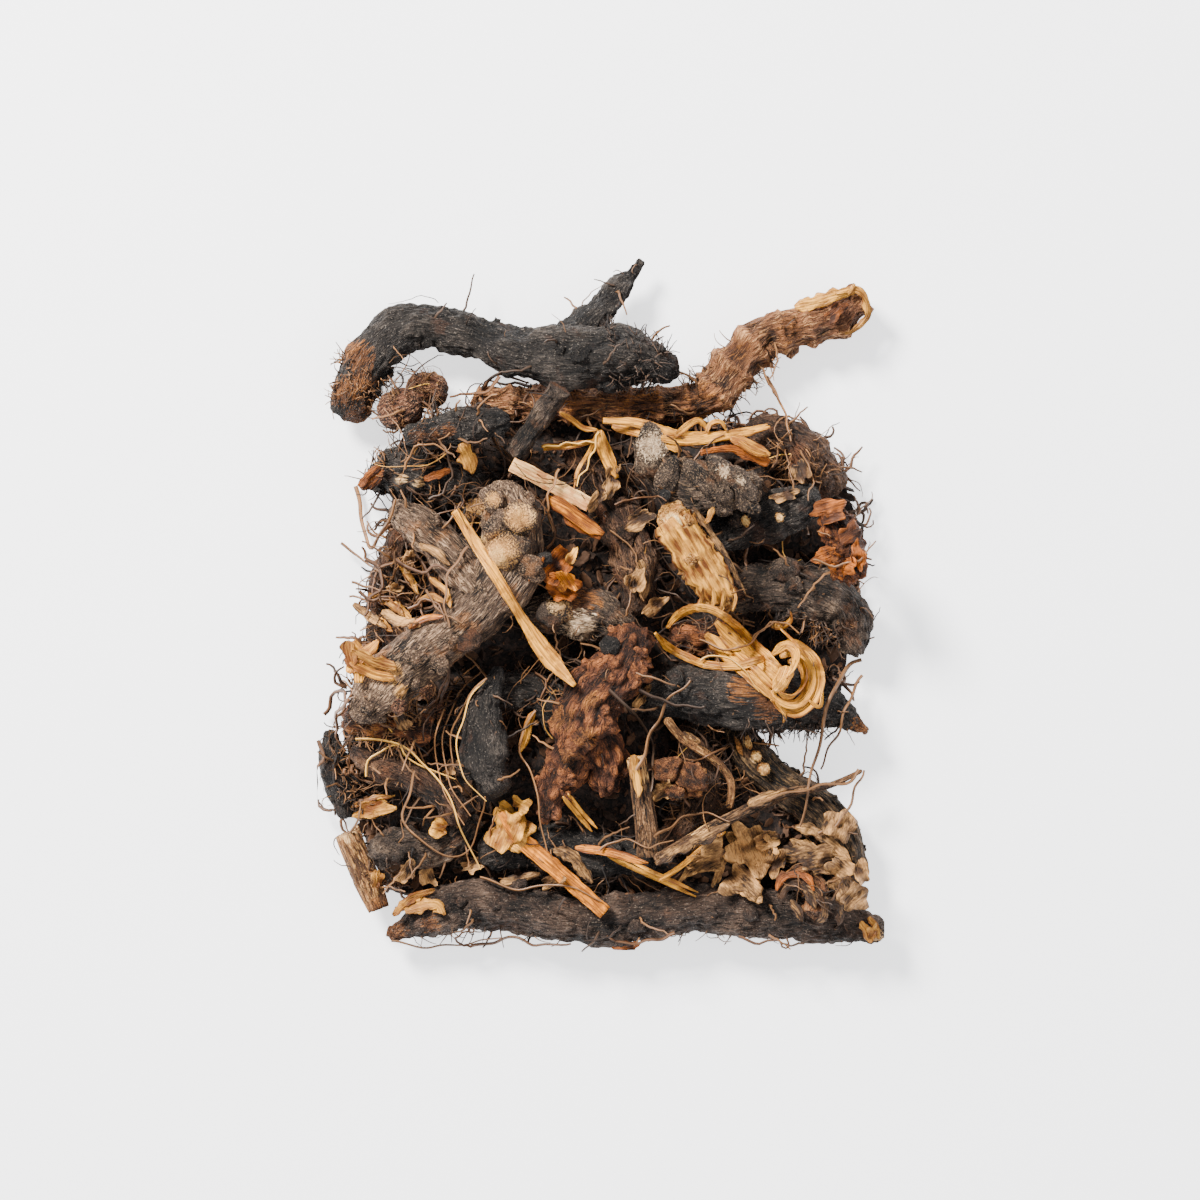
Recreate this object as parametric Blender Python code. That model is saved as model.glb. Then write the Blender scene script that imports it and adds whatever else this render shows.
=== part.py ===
"""A matted clump of dried nutgrass root: thick rhizomes that lie across each other in a mat of fine
roots, two round tubers, and what is left of the plant's old stems and leaves caught on top.

The origin is on the clump's flat underside. X runs to the right and Y to the top of the clump as it
is looked down on, and Z points up. Every length in this file is in millimetres, and objects are made
in metres.
"""

import math
import random
from dataclasses import dataclass, field

import bmesh
import bpy
import numpy as np
from mathutils import Vector, noise
from mathutils.bvhtree import BVHTree

MM = 0.001

# Driving dimensions
MAT_FLOOR = 1.2  # least thickness of the fine-root mat under a rhizome
MAT_TOP = 9.0  # how high the mat swells between the rhizomes
LAY_GAP = 0.45  # air between a root and what it lies on
LAY_SWELL = 1.13  # how far a rhizome's bark bulges past its stated radius
BLADE_THICK = 0.8
ROOTLET_THICK = 1.0  # at its root; the tip is half of it
LEAST_BEARER = 2.3  # radius of the thinnest rhizome that carries rootlets and buds
GROWTH_CELL = 0.5  # side of a cell of the height map
RIND_STEP = 4.2  # distance between rings of a rhizome
RIND_SIDES = 9
STEM_SIDES = 7

# Outline of the mat of fine roots, anticlockwise from the right end
MAT_OUTLINE = [
    (51.4, -5.8), (52.4, 4.2), (52.8, 14.2), (50.0, 26.2), (42.8, 34.8), (30.4, 36.2),
    (18.4, 39.8), (0.4, 41.8), (-19.6, 41.8), (-31.6, 38.2), (-39.6, 31.2), (-42.0, 21.0),
    (-43.0, 10.2), (-46.4, -1.8), (-49.6, -13.8), (-51.6, -25.8), (-49.6, -37.8),
    (-46.0, -49.8), (-41.6, -56.8), (-29.6, -60.8), (-13.6, -61.8), (4.4, -62.8),
    (24.4, -62.8), (40.4, -62.4), (49.0, -57.8), (48.0, -48.8), (42.0, -42.0), (32.0, -34.0),
    (27.0, -28.5), (31.0, -24.0), (40.4, -22.2), (48.4, -15.8),
]
MAT_CENTRE = (0.0, -8.0)
MAT_RINGS = 8
MAT_SPOKES = 46


@dataclass
class Root:
    """A root, stem or strand: its route seen from above, as (x, y, radius)."""

    name: str
    bark: str
    route: list
    branches: list = field(default_factory=list)
    buds: int = 0
    ring_gap: float = 0.0
    rootlets: int = 0
    thin: bool = False
    cut_ends: bool = False


@dataclass
class Blade:
    """A dry leaf blade, sheath or splinter: its route seen from above, as (x, y, full width)."""

    name: str
    bark: str
    route: list
    thick: float = BLADE_THICK
    lift: float = 0.0
    cup: float = 0.0


# The rhizomes in the order in which they lie, the lowest first
ROOTS = [
    Root("rhizome_under_left", "umber", [(-40, 14, 3.2), (-42, 4, 4.0), (-40, -5, 3.4)], rootlets=7),
    Root(
        "rhizome_under_centre", "black",
        [(-31, -24, 3.4), (-22, -18, 4.2), (-13, -17, 4.4), (-7, -22, 3.6)], rootlets=3,
    ),
    Root(
        "rhizome_under_middle", "umber",
        [(-3, 31, 3.6), (3, 22, 4.6), (7, 11, 4.8), (8, 3, 3.8)], buds=2, rootlets=3,
    ),
    Root(
        "rhizome_under_right", "umber",
        [(19, -25, 3.0), (21.4, -32, 4.3), (19.4, -40.4, 4.4), (15, -46, 3.2)], buds=2, rootlets=2,
    ),
    Root(
        "rhizome_under_foot", "black",
        [(-21, -49, 3.6), (-9, -47, 4.4), (1, -49, 4.2), (9, -50, 3.4)], rootlets=3,
    ),
    Root("rhizome_under_knot", "russet", [(17, -5.4, 3.0), (22, -5.6, 3.8), (28, -7.0, 3.4)], rootlets=3),
    Root(
        "rhizome_bottom", "black",
        [
            (-41, -65, 1.6), (-37, -63, 3.4), (-28.6, -59.4, 4.8), (-15.6, -60, 5.0),
            (-1.6, -62.6, 4.8), (10.4, -61, 5.0), (24.4, -59.6, 5.2), (38.4, -61.6, 4.8),
            (49, -63, 4.2), (55, -64.4, 3.0),
        ],
        buds=3, rootlets=9,
    ),
    Root(
        "rhizome_spotted", "spotted",
        [
            (28, -23.5, 3.0), (30.8, -29, 3.7), (37.4, -35, 4.0), (44.4, -40, 4.2),
            (49.4, -46.8, 4.0), (51.4, -52.6, 3.2),
        ],
        rootlets=5,
    ),
    Root(
        "rhizome_pointed", "black",
        [(12, -17, 4.0), (19, -16.6, 5.6), (28, -17.6, 6.2), (37.4, -17.6, 6.2), (46, -19.4, 4.4), (53.4, -23.6, 0.9)],
        buds=2, rootlets=7,
    ),
    Root(
        "rhizome_right_back", "umber",
        [(33, 35.5, 4.2), (40, 32.4, 5.4), (45.6, 26.4, 4.4)], buds=2, rootlets=6,
    ),
    Root(
        "rhizome_right_grey", "ash",
        [(25.6, 3.4, 3.8), (32, 4.8, 5.2), (41, 3.6, 5.8), (48.6, 0.6, 5.4), (51.8, -5.6, 3.6)],
        buds=3, rootlets=9,
    ),
    Root(
        "rhizome_upturned", "ringed_brown",
        [
            (-23, 42, 2.8), (-11.6, 42, 3.6), (0.4, 41.4, 3.6), (12.4, 41.4, 3.7),
            (21.4, 42.8, 4.2), (28, 49.8, 4.7), (33.6, 55, 4.5), (40.4, 56.8, 4.1),
            (47.4, 58.8, 4.3), (51.4, 61.6, 3.4),
        ],
        ring_gap=6.0, rootlets=11,
    ),
    Root(
        "rhizome_arched", "black",
        [
            (-49.6, 41.8, 4.0), (-47.2, 49, 5.1), (-41.2, 55.6, 4.9), (-33.6, 57.4, 4.3),
            (-24.6, 55.2, 4.3), (-14.6, 51.8, 5.3), (-3.6, 50.6, 6.4), (6.4, 50.8, 6.2),
            (13.4, 48.4, 3.4),
        ],
        branches=[[(-8, 53.4, 3.8), (-1, 59.2, 3.4), (4.4, 64.8, 2.5), (8.2, 70.2, 0.9)]],
        buds=3, rootlets=9,
    ),
    Root("tuber_inner", "coir", [(-35.6, 44.6, 3.4), (-33.4, 44.4, 3.6)], rootlets=3),
    Root("tuber_outer", "coir", [(-40.6, 40.0, 4.0), (-38.8, 40.6, 4.1)], rootlets=3),
    Root(
        "rhizome_left_ringed", "black",
        [(-47, 25.6, 1.2), (-43.4, 26.6, 3.6), (-38.6, 27.6, 5.6), (-31.8, 25.8, 5.4), (-25.6, 24.6, 4.0)],
        ring_gap=3.0, rootlets=7,
    ),
    Root(
        "rhizome_left_upper", "black",
        [(-36.4, 34.8, 2.6), (-31.6, 35.8, 3.6), (-26.6, 36.8, 4.0), (-20, 37.6, 3.0)],
        buds=2, rootlets=5,
    ),
    Root(
        "rhizome_left_dark", "black",
        [(-54, -25.6, 1.9), (-53.6, -29.6, 3.0), (-52.4, -34.8, 3.2), (-50.8, -39.8, 2.4)], rootlets=5,
    ),
    Root(
        "stem_left", "wood",
        [(-50.4, -44.6, 2.4), (-48, -50.4, 2.7), (-45.6, -56.2, 2.7), (-44.2, -60, 2.4)],
        rootlets=3, cut_ends=True,
    ),
    Root(
        "rhizome_fibrous", "russet",
        [(-48.4, -21.8, 3.2), (-42.6, -23, 3.8), (-35.6, -24, 3.2)], rootlets=9,
    ),
    Root(
        "rhizome_lower_left", "ash",
        [(-43, -47.6, 3.2), (-39, -47.2, 4.2), (-34, -47.6, 3.4), (-29.4, -46.4, 2.7), (-25.8, -42.6, 2.5)],
        buds=2, rootlets=5,
    ),
    Root(
        "rhizome_curved", "umber",
        [(-48.2, -28, 1.7), (-43.6, -31, 2.9), (-38, -33.8, 3.2), (-32.4, -36.8, 3.2), (-28.6, -40.6, 2.7)],
        rootlets=9,
    ),
    Root(
        "rhizome_bottle", "black",
        [(-20.2, -12.4, 1.5), (-22, -17, 2.5), (-22.8, -22.4, 3.8), (-22.8, -29.2, 5.2), (-21, -34, 3.4)],
        rootlets=5,
    ),
    Root(
        "rhizome_right_dark", "black",
        [(21.4, 15.2, 3.2), (28.4, 17, 4.4), (35.4, 19.2, 4.9), (41, 21.4, 4.4)],
        buds=2, rootlets=5,
    ),
    Root("bark_torn", "amber", [(46.4, 18.6, 2.6), (48.8, 14.2, 4.4), (50.2, 8.8, 3.6)], buds=3, rootlets=1),
    Root(
        "rhizome_woolly", "wool",
        [(10, 34, 3.3), (12.8, 28.8, 4.8), (18.4, 25, 5.7), (24.8, 24.6, 5.4), (29.6, 24.4, 3.4)],
        buds=5, rootlets=6,
    ),
    Root(
        "rhizome_cut_face", "wool",
        [(-13.0, -0.8, 3.4), (-6.8, -0.2, 5.0), (0.4, -1.4, 5.0), (4.4, -3.4, 3.6)],
        buds=2, rootlets=4,
    ),
    Root(
        "rhizome_grey", "grey",
        [
            (-18.4, 21.6, 5.0), (-17.2, 16, 6.6), (-17.4, 9.2, 6.3), (-22, 2.6, 6.1),
            (-29.6, -4.4, 5.8), (-37.6, -10.4, 5.7), (-43.6, -16, 5.0), (-46, -19.4, 3.6),
        ],
        branches=[[(-39, 19.4, 3.2), (-34.6, 16.4, 4.1), (-29.2, 11.4, 4.3), (-24, 5.2, 4.3)]],
        buds=5, rootlets=9,
    ),
    Root(
        "rhizome_russet", "russet",
        [
            (7, -6.4, 4.0), (4.6, -11, 4.9), (-0.8, -17, 6.3), (-3.4, -23.4, 6.4),
            (-6, -30.6, 4.2), (-9.2, -36.6, 3.2), (-10.2, -40.2, 2.0),
        ],
        branches=[[(-1.2, -24, 4.6), (1.4, -29.6, 4.2), (1.8, -34, 3.0)]],
        buds=5, rootlets=4,
    ),
    Root("lump_crumbly", "clay", [(14.6, -33.4, 3.2), (19.0, -34.2, 3.2)], buds=5),
    Root(
        "ear_curled", "ringed_brown",
        [(36.8, -53.8, 1.6), (40.2, -52.6, 2.2), (43.4, -55, 2.4), (43.4, -59.4, 2.4)], rootlets=2,
    ),
    Root(
        "husk_rolled", "tan",
        [(14.8, 18.6, 4.0), (18.8, 12, 4.6), (22.6, 5.6, 4.5), (24.6, 1.8, 3.2)], buds=1,
    ),
    Root(
        "stem_cut", "wood",
        [(7.6, -29.2, 2.0), (8.6, -35.8, 2.1), (9.6, -42.8, 2.3), (10.4, -49, 2.8)],
        thin=True, cut_ends=True,
    ),
    Root(
        "stem_grey", "ash",
        [(-7.6, 44.2, 2.4), (-11.6, 38.6, 2.3), (-17, 31, 2.1)], thin=True, cut_ends=True,
    ),
]

# Dry leaf blades, sheaths, splinters and thin stems, which lie on the rhizomes
LITTER = [
    Root(
        "stem_hooked", "straw",
        [(14, -22, 0.9), (17, -25.6, 0.9), (23, -29.6, 0.9), (26.6, -34, 0.8), (26.4, -39, 0.8)], thin=True,
    ),
    Root(
        "stem_crossing", "wood",
        [(12, -49, 1.0), (24.4, -42.4, 1.2), (38, -36.6, 1.1), (46.4, -35, 0.7), (52.6, -32.2, 0.5)], thin=True,
    ),
    Root(
        "leaf_knot_stem", "straw",
        [(22.6, -4.2, 1.0), (29, -8.6, 1.5), (35, -13.4, 1.7), (38.6, -15.6, 1.2)], thin=True,
    ),
    Root(
        "leaf_knot_strap", "straw",
        [(11.2, -4.4, 0.8), (17.6, -8.8, 1.1), (25.8, -10.8, 1.1), (33, -9.6, 1.0), (37, -9.0, 0.8)],
        thin=True,
    ),
    Root(
        "leaf_knot_loop", "straw",
        [
            (14, -3, 0.7), (20.2, -0.4, 1.0), (26.8, -2.2, 1.2), (33, -6.6, 1.3), (38.6, -9.6, 1.4),
            (42.2, -12.4, 1.5), (42, -17.2, 1.5), (38.2, -19.4, 1.4), (35.4, -16.8, 1.2),
        ],
        thin=True,
    ),
    Blade(
        "leaf_long", "straw",
        [(-28.4, 20, 1.8), (-22.2, 10.2, 2.4), (-15.2, -1.2, 2.0), (-10, -8.8, 3.6), (-4.6, -14.8, 0.9)],
    ),
    Blade("splinter_pink", "pinewood", [(-17.2, 29.4, 3.0), (-9.4, 25.3, 3.0), (-1.6, 21.2, 3.0)], thick=1.2),
    Blade("bud_scale_orange", "amber", [(-7.6, 21.4, 1.4), (-4, 18, 4.2), (0.6, 14.6, 1.2)], thick=1.4, cup=0.5),
    Blade("leaf_short", "straw", [(0.2, 36.2, 1.0), (2, 31, 2.6), (3.8, 26.6, 0.9)]),
    Blade("leaf_thin", "straw", [(-11, 32.6, 1.0), (-5, 33.2, 1.2), (0, 34.2, 0.9)]),
    Blade(
        "leaf_bundle", "straw",
        [(1, 38, 1.2), (8.4, 37.4, 2.0), (16.4, 34.6, 2.9), (25.4, 35, 2.2), (34, 37, 1.0)], cup=0.4,
    ),
    Blade("leaf_tip_amber", "amber", [(20.4, 31.6, 1.2), (26.4, 32.4, 1.6), (30.6, 31.4, 3.4), (34.2, 29.6, 1.6)]),
    Blade(
        "sheath_orange", "pinewood",
        [(-19.6, -40.4, 1.2), (-15.4, -45.6, 3.4), (-7, -53, 3.4), (1.4, -60.4, 3.0)], cup=0.5,
    ),
    Blade("scale_pale", "tan", [(-21.4, -40.6, 5.0), (-17.2, -42.4, 8.6), (-13.6, -45.4, 5.4)], cup=1.2),
    Blade("scale_lower_a", "dead_leaf", [(26.4, -43.4, 3.0), (29.6, -47, 6.4), (32.4, -51.4, 3.0)], cup=0.8),
    Blade("scale_lower_b", "dead_leaf", [(26.6, -53, 2.6), (30, -55.2, 5.8), (33.6, -56.8, 2.2)], cup=0.9),
    Blade("scale_lower_c", "dead_leaf", [(16.6, -52.6, 3.0), (21, -48.8, 4.4), (25.4, -44.8, 2.6)], cup=0.8),
    Blade("scale_lower_d", "dead_leaf", [(38.6, -46, 3.4), (43.4, -49, 5.2), (47.4, -51.4, 3.0)], cup=0.8),
    Blade("chip_left", "tan", [(-48.6, -40.8, 2.6), (-44.8, -39.8, 4.0), (-41.4, -38.4, 3.6)], thick=1.1, cup=0.3),
    Blade("chip_middle", "tan", [(-34.0, -42.6, 3.4), (-31.8, -43.6, 4.0), (-29.8, -44.6, 3.2)], thick=1.1, cup=0.2),
    Blade("chip_foot", "tan", [(-39.4, -60.2, 2.4), (-35.6, -59.2, 3.2), (-32.2, -58.8, 2.6)], thick=1.0, cup=0.4),
    Blade("sheath_left", "straw", [(-49.4, -6.6, 3.4), (-47.6, -9.4, 4.2), (-47.4, -14.2, 1.6)], cup=0.6),
]

# Bark colour, roughness
BARKS = {
    "black": ((0.035, 0.028, 0.025), 0.85),
    "umber": ((0.075, 0.045, 0.030), 0.88),
    "russet": ((0.170, 0.075, 0.035), 0.85),
    "ringed_brown": ((0.160, 0.085, 0.048), 0.80),
    "spotted": ((0.085, 0.058, 0.036), 0.75),
    "ash": ((0.095, 0.075, 0.060), 0.88),
    "grey": ((0.165, 0.125, 0.095), 0.88),
    "wool": ((0.230, 0.185, 0.145), 0.90),
    "coir": ((0.130, 0.062, 0.036), 0.85),
    "clay": ((0.150, 0.070, 0.036), 0.95),
    "wood": ((0.270, 0.165, 0.090), 0.70),
    "tan": ((0.520, 0.330, 0.150), 0.60),
    "straw": ((0.640, 0.430, 0.190), 0.50),
    "amber": ((0.480, 0.200, 0.060), 0.55),
    "pinewood": ((0.620, 0.360, 0.200), 0.60),
    "dead_leaf": ((0.250, 0.160, 0.090), 0.75),
    "mat": ((0.045, 0.030, 0.022), 0.95),
}


def smooth_route(points, step, closed=False):
    """Points every step along a smooth curve through the route's own points."""
    p = np.array(points, float)
    if closed:
        ends = np.vstack([p[-1], p, p[:2]])
        p = np.vstack([p, p[:1]])
    else:
        ends = np.vstack([2 * p[0] - p[1], p, 2 * p[-1] - p[-2]])
    t = np.linspace(0, 1, 16, endpoint=False)[:, None]
    spans = []
    for a, b, c, d in zip(ends[:-3], ends[1:-2], ends[2:-1], ends[3:]):
        spans.append(0.5 * (2 * b + (c - a) * t + (2 * a - 5 * b + 4 * c - d) * t**2 + (3 * b - 3 * c + d - a) * t**3))
    fine = np.vstack([*spans, p[-1:]])
    run = np.concatenate([[0], np.cumsum(np.linalg.norm(np.diff(fine[:, :2], axis=0), axis=1))])
    count = max(2, round(run[-1] / step))
    at = np.linspace(0, run[-1], count + 1)
    return np.stack([np.interp(at, run, fine[:, k]) for k in range(3)], axis=1)


class Pile:
    """A height map of what already lies there, from which the next root's height is worked out."""

    def __init__(self):
        self.axis_x = np.arange(-64, 64, GROWTH_CELL)
        self.axis_y = np.arange(-76, 78, GROWTH_CELL)
        self.x, self.y = np.meshgrid(self.axis_x, self.axis_y, indexing="ij")
        self.top = np.zeros_like(self.x)
        self.under = np.full_like(self.x, 99.0)

    def disc(self, x, y, radius):
        """The cells within radius of a point, as slices, and their squared distance from it."""
        i = slice(*np.searchsorted(self.axis_x, (x - radius, x + radius)))
        j = slice(*np.searchsorted(self.axis_y, (y - radius, y + radius)))
        return i, j, (self.x[i, j] - x) ** 2 + (self.y[i, j] - y) ** 2

    def ball_rests(self, x, y, radius):
        i, j, d2 = self.disc(x, y, radius)
        inside = d2 < radius**2
        return (self.top[i, j][inside] + np.sqrt(radius**2 - d2[inside])).max()

    def disc_rests(self, x, y, radius):
        i, j, d2 = self.disc(x, y, radius)
        return self.top[i, j][d2 < radius**2].max()

    def add_ball(self, x, y, z, radius):
        i, j, d2 = self.disc(x, y, radius)
        inside = d2 < radius**2
        rise = np.sqrt(radius**2 - d2[inside])
        self.top[i, j][inside] = np.maximum(self.top[i, j][inside], z + rise)
        self.under[i, j][inside] = np.minimum(self.under[i, j][inside], z - rise)

    def add_disc(self, x, y, z, radius):
        i, j, d2 = self.disc(x, y, radius)
        inside = d2 < radius**2
        self.top[i, j][inside] = np.maximum(self.top[i, j][inside], z)


def drape(need, stiffness):
    """The heights of a springy line that lies on need and bridges its dips."""
    z = need.copy()
    for _ in range(stiffness):
        eased = z.copy()
        eased[1:-1] = (z[:-2] + 2 * z[1:-1] + z[2:]) / 4
        eased[0], eased[-1] = z[:2].mean(), z[-2:].mean()
        z = np.maximum(need, eased)
    return z


def lay_root(route, pile, step, stiffness=30, joined=None):
    """The root's centreline, as rows of x, y, z and radius, where it lies on the pile."""
    line = smooth_route(route, step)
    need = np.array([pile.ball_rests(x, y, r * LAY_SWELL + LAY_GAP) for x, y, r in line])
    if joined is not None:
        near = joined[np.argmin(np.hypot(joined[:, 0] - line[0, 0], joined[:, 1] - line[0, 1]))]
        far = joined[np.argmin(np.hypot(joined[:, 0] - line[-1, 0], joined[:, 1] - line[-1, 1]))]
        start_gap = np.hypot(*(near[:2] - line[0, :2]))
        end_gap = np.hypot(*(far[:2] - line[-1, :2]))
        if start_gap <= end_gap:
            need[0] = max(need[0], near[2])
        else:
            need[-1] = max(need[-1], far[2])
    z = drape(need, stiffness)
    return np.column_stack([line[:, :2], z, line[:, 2]])


def cover(pile, line, step):
    for x, y, z, r in densely(line, step):
        pile.add_ball(x, y, z, r * LAY_SWELL)


def densely(line, step=0.8):
    run = np.concatenate([[0], np.cumsum(np.linalg.norm(np.diff(line[:, :3], axis=0), axis=1))])
    at = np.linspace(0, run[-1], max(2, round(run[-1] / step)) + 1)
    return np.stack([np.interp(at, run, line[:, k]) for k in range(line.shape[1])], axis=1)


def frames_along(points):
    """Unit tangent, side and up vectors at each point, turning as little as they can."""
    tangents = np.gradient(points, axis=0)
    tangents /= np.linalg.norm(tangents, axis=1)[:, None]
    up = np.array([0, 0, 1.0])
    ups, sides = [], []
    for t in tangents:
        side = np.cross(t, up)
        side /= np.linalg.norm(side)
        up = np.cross(side, t)
        sides.append(side)
        ups.append(up)
    return tangents, np.array(sides), np.array(ups)


def tube(line, sides, swell=None, blunt=True):
    """A closed tube along the line: (corners, faces). swell(run, angles) scales each ring's radius."""
    centres, radii = line[:, :3], line[:, 3]
    tangents, side, up = frames_along(centres)
    run = np.concatenate([[0], np.cumsum(np.linalg.norm(np.diff(centres, axis=0), axis=1))])
    angles = np.linspace(0, 2 * math.pi, sides, endpoint=False)
    rings = []
    if blunt:
        rings.append((centres[0] - tangents[0] * radii[0] * 0.62, 0, 0.72 * radii[0]))
    rings += [(c, k, r) for k, (c, r) in enumerate(zip(centres, radii))]
    if blunt:
        rings.append((centres[-1] + tangents[-1] * radii[-1] * 0.62, len(radii) - 1, 0.72 * radii[-1]))
    corners = []
    for centre, k, radius in rings:
        scale = radius * (swell(run[k], angles) if swell else np.ones(sides))
        corners.append(centre + scale[:, None] * (np.cos(angles)[:, None] * side[k] + np.sin(angles)[:, None] * up[k]))
    corners = np.vstack(corners)
    count = len(rings)
    faces = [
        (a * sides + i, a * sides + (i + 1) % sides, (a + 1) * sides + (i + 1) % sides, (a + 1) * sides + i)
        for a in range(count - 1)
        for i in range(sides)
    ]
    reach = 0.92 if blunt else 0.0
    poles = [centres[0] - tangents[0] * radii[0] * reach, centres[-1] + tangents[-1] * radii[-1] * reach]
    corners = np.vstack([corners, poles])
    first, last = count * sides, count * sides + 1
    faces += [(first, (i + 1) % sides, i) for i in range(sides)]
    foot = (count - 1) * sides
    faces += [(last, foot + i, foot + (i + 1) % sides) for i in range(sides)]
    return corners, [face[::-1] for face in faces]


def bark_swell(root, seed):
    """How a rhizome's bark bulges: slow lobes round it and along it, and rings where it has them."""
    draw = random.Random(seed)
    turns = [draw.uniform(0, 2 * math.pi) for _ in range(4)]

    def swell(run, angles):
        lobes = 0.055 * np.sin(2 * angles + 0.21 * run + turns[0])
        lobes += 0.035 * np.sin(3 * angles - 0.33 * run + turns[1])
        along = 0.035 * math.sin(0.55 * run + turns[2])
        if root.ring_gap:
            along += 0.07 * math.cos(2 * math.pi * run / root.ring_gap)
        return 1 - 0.02 + lobes + along

    return swell


def ball(centre, radius, squash=0.85):
    """A small low bud: (corners, faces)."""
    mesh = bmesh.new()
    bmesh.ops.create_icosphere(mesh, subdivisions=1, radius=radius)
    corners = np.array([v.co for v in mesh.verts]) * (1, 1, squash) + centre
    faces = [tuple(v.index for v in f.verts) for f in mesh.faces]
    mesh.free()
    return corners, faces


def ribbon(blade, pile):
    """A dry blade as a thin cupped strip that lies on the pile: (corners, faces)."""
    line = smooth_route(blade.route, 2.2)
    half = blade.thick / 2
    need = np.array([pile.disc_rests(x, y, w / 2 + 0.4) + LAY_GAP + half + blade.cup for x, y, w in line])
    z = drape(need, 60)
    centres = np.column_stack([line[:, :2], z])
    _, side, up = frames_along(centres)
    across = np.array([-0.5, 0.0, 0.5])
    corners = []
    for k, centre in enumerate(centres):
        drop = -blade.cup * (2 * across) ** 2
        rim = half * np.array([0.75, 1.0, 0.75])
        middle = centre + across[:, None] * line[k, 2] * side[k] + drop[:, None] * up[k]
        corners.append(np.vstack([middle + rim[:, None] * up[k], (middle - rim[:, None] * up[k])[::-1]]))
    for x, y, height, width in densely(np.column_stack([centres, line[:, 2]])):
        pile.add_disc(x, y, height + half, width / 2 + 0.3)
    loop = 6
    count = len(corners)
    corners = np.vstack(corners)
    faces = [
        (a * loop + i, a * loop + (i + 1) % loop, (a + 1) * loop + (i + 1) % loop, (a + 1) * loop + i)
        for a in range(count - 1)
        for i in range(loop)
    ]
    foot = (count - 1) * loop
    faces += [(0, 1, 4, 5)[::-1], (1, 2, 3, 4)[::-1]]
    faces += [tuple(foot + i for i in (0, 1, 4, 5)), tuple(foot + i for i in (1, 2, 3, 4))]
    return corners, faces


def mat_rim():
    """The mat's outline as evenly spaced points on a smooth closed curve."""
    loop = smooth_route([(x, y, 0) for x, y in MAT_OUTLINE], 0.5, closed=True)[:, :2]
    run = np.concatenate([[0], np.cumsum(np.hypot(*np.diff(loop, axis=0).T))])
    at = np.linspace(0, run[-1], MAT_SPOKES, endpoint=False)
    return np.stack([np.interp(at, run, loop[:, k]) for k in range(2)], axis=1)


def mat_height(pile, x, y, edge):
    """The mat's top: lumpy, lower at its edge, and pressed down where a root lies on it."""
    lumps = MAT_TOP * (0.62 + 0.38 * noise.noise(Vector((x * 0.13, y * 0.13, 3.1))))
    swollen = MAT_FLOOR + (lumps - MAT_FLOOR) * (1 - edge**4)
    i, j, d2 = pile.disc(x, y, 4.8)
    pressed = pile.under[i, j].min() - 0.35
    return max(MAT_FLOOR * 0.55, min(swollen, pressed))


def fine_root_mat(pile):
    rim = mat_rim()
    centre = np.array(MAT_CENTRE)
    rings = [1 - (1 - k / MAT_RINGS) ** 1.25 for k in range(1, MAT_RINGS + 1)]
    corners = [(*centre, mat_height(pile, *centre, 0))]
    for share in rings:
        for point in rim:
            x, y = centre + (point - centre) * share
            corners.append((x, y, mat_height(pile, x, y, share)))
    foot = len(corners)
    corners += [(*(centre + (point - centre) * 0.985), 0.0) for point in rim]
    corners.append((*centre, 0.0))
    n = MAT_SPOKES
    faces = [(0, 1 + i, 1 + (i + 1) % n) for i in range(n)]
    for k in range(MAT_RINGS - 1):
        a, b = 1 + k * n, 1 + (k + 1) * n
        faces += [(a + i, b + i, b + (i + 1) % n, a + (i + 1) % n) for i in range(n)]
    a = 1 + (MAT_RINGS - 1) * n
    faces += [(a + i, foot + i, foot + (i + 1) % n, a + (i + 1) % n) for i in range(n)]
    faces += [(foot + i, foot + n, foot + (i + 1) % n) for i in range(n)]
    return np.array(corners), faces


def near_something(trees, point, gap):
    return any(tree.find_nearest(Vector(point), gap)[0] is not None for tree in trees)


def grow_rootlet(line, draw, others, taken):
    """The centreline of a rootlet that leaves the rhizome, bends down and stays clear, or None."""
    k = draw.randrange(len(line))
    centre, radius = line[k, :3], line[k, 3]
    if radius < LEAST_BEARER:
        return None
    _, side, up = frames_along(line[:, :3])
    angle = draw.uniform(-0.25, math.pi + 0.25)
    out = math.cos(angle) * side[k] + math.sin(angle) * up[k]
    heading = out + 0.35 * np.array([draw.uniform(-1, 1), draw.uniform(-1, 1), 0])
    heading /= np.linalg.norm(heading)
    length = draw.uniform(5, 13)
    turn = np.array([draw.uniform(-1, 1), draw.uniform(-1, 1), draw.uniform(-1.0, 0.2)]) * 0.42
    steps = 4
    points = [centre + out * radius * 0.45]
    point = centre + out * radius * 0.9
    for step in range(steps):
        points.append(point.copy())
        heading = heading + turn
        heading /= np.linalg.norm(heading)
        point = point + heading * length / steps
    points = np.array(points)
    if points[:, 2].min() < 0.8 or points[1:, 2].max() > 33:
        return None
    if abs(points[:, 0]).max() > 57 or points[:, 1].max() > 70 or points[:, 1].min() < -70:
        return None
    fine = densely(points, 0.6)
    if any(near_something(others, p, ROOTLET_THICK / 2 + 0.4) for p in fine):
        return None
    if len(taken) and np.linalg.norm(fine[4:, None] - taken[None], axis=2).min() < 1.6:
        return None
    widths = np.linspace(ROOTLET_THICK / 2, ROOTLET_THICK / 4, len(points))
    return np.column_stack([points, widths])


def bvh(shell):
    corners, faces = shell
    return BVHTree.FromPolygons([Vector(c) for c in corners], faces)


def material(bark):
    made = bpy.data.materials.get(bark)
    if made:
        return made
    colour, roughness = BARKS[bark]
    made = bpy.data.materials.new(bark)
    made.use_nodes = True
    shader = made.node_tree.nodes["Principled BSDF"]
    shader.inputs["Base Color"].default_value = (*colour, 1)
    shader.inputs["Roughness"].default_value = roughness
    made.diffuse_color = (*colour, 1)
    return made


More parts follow.
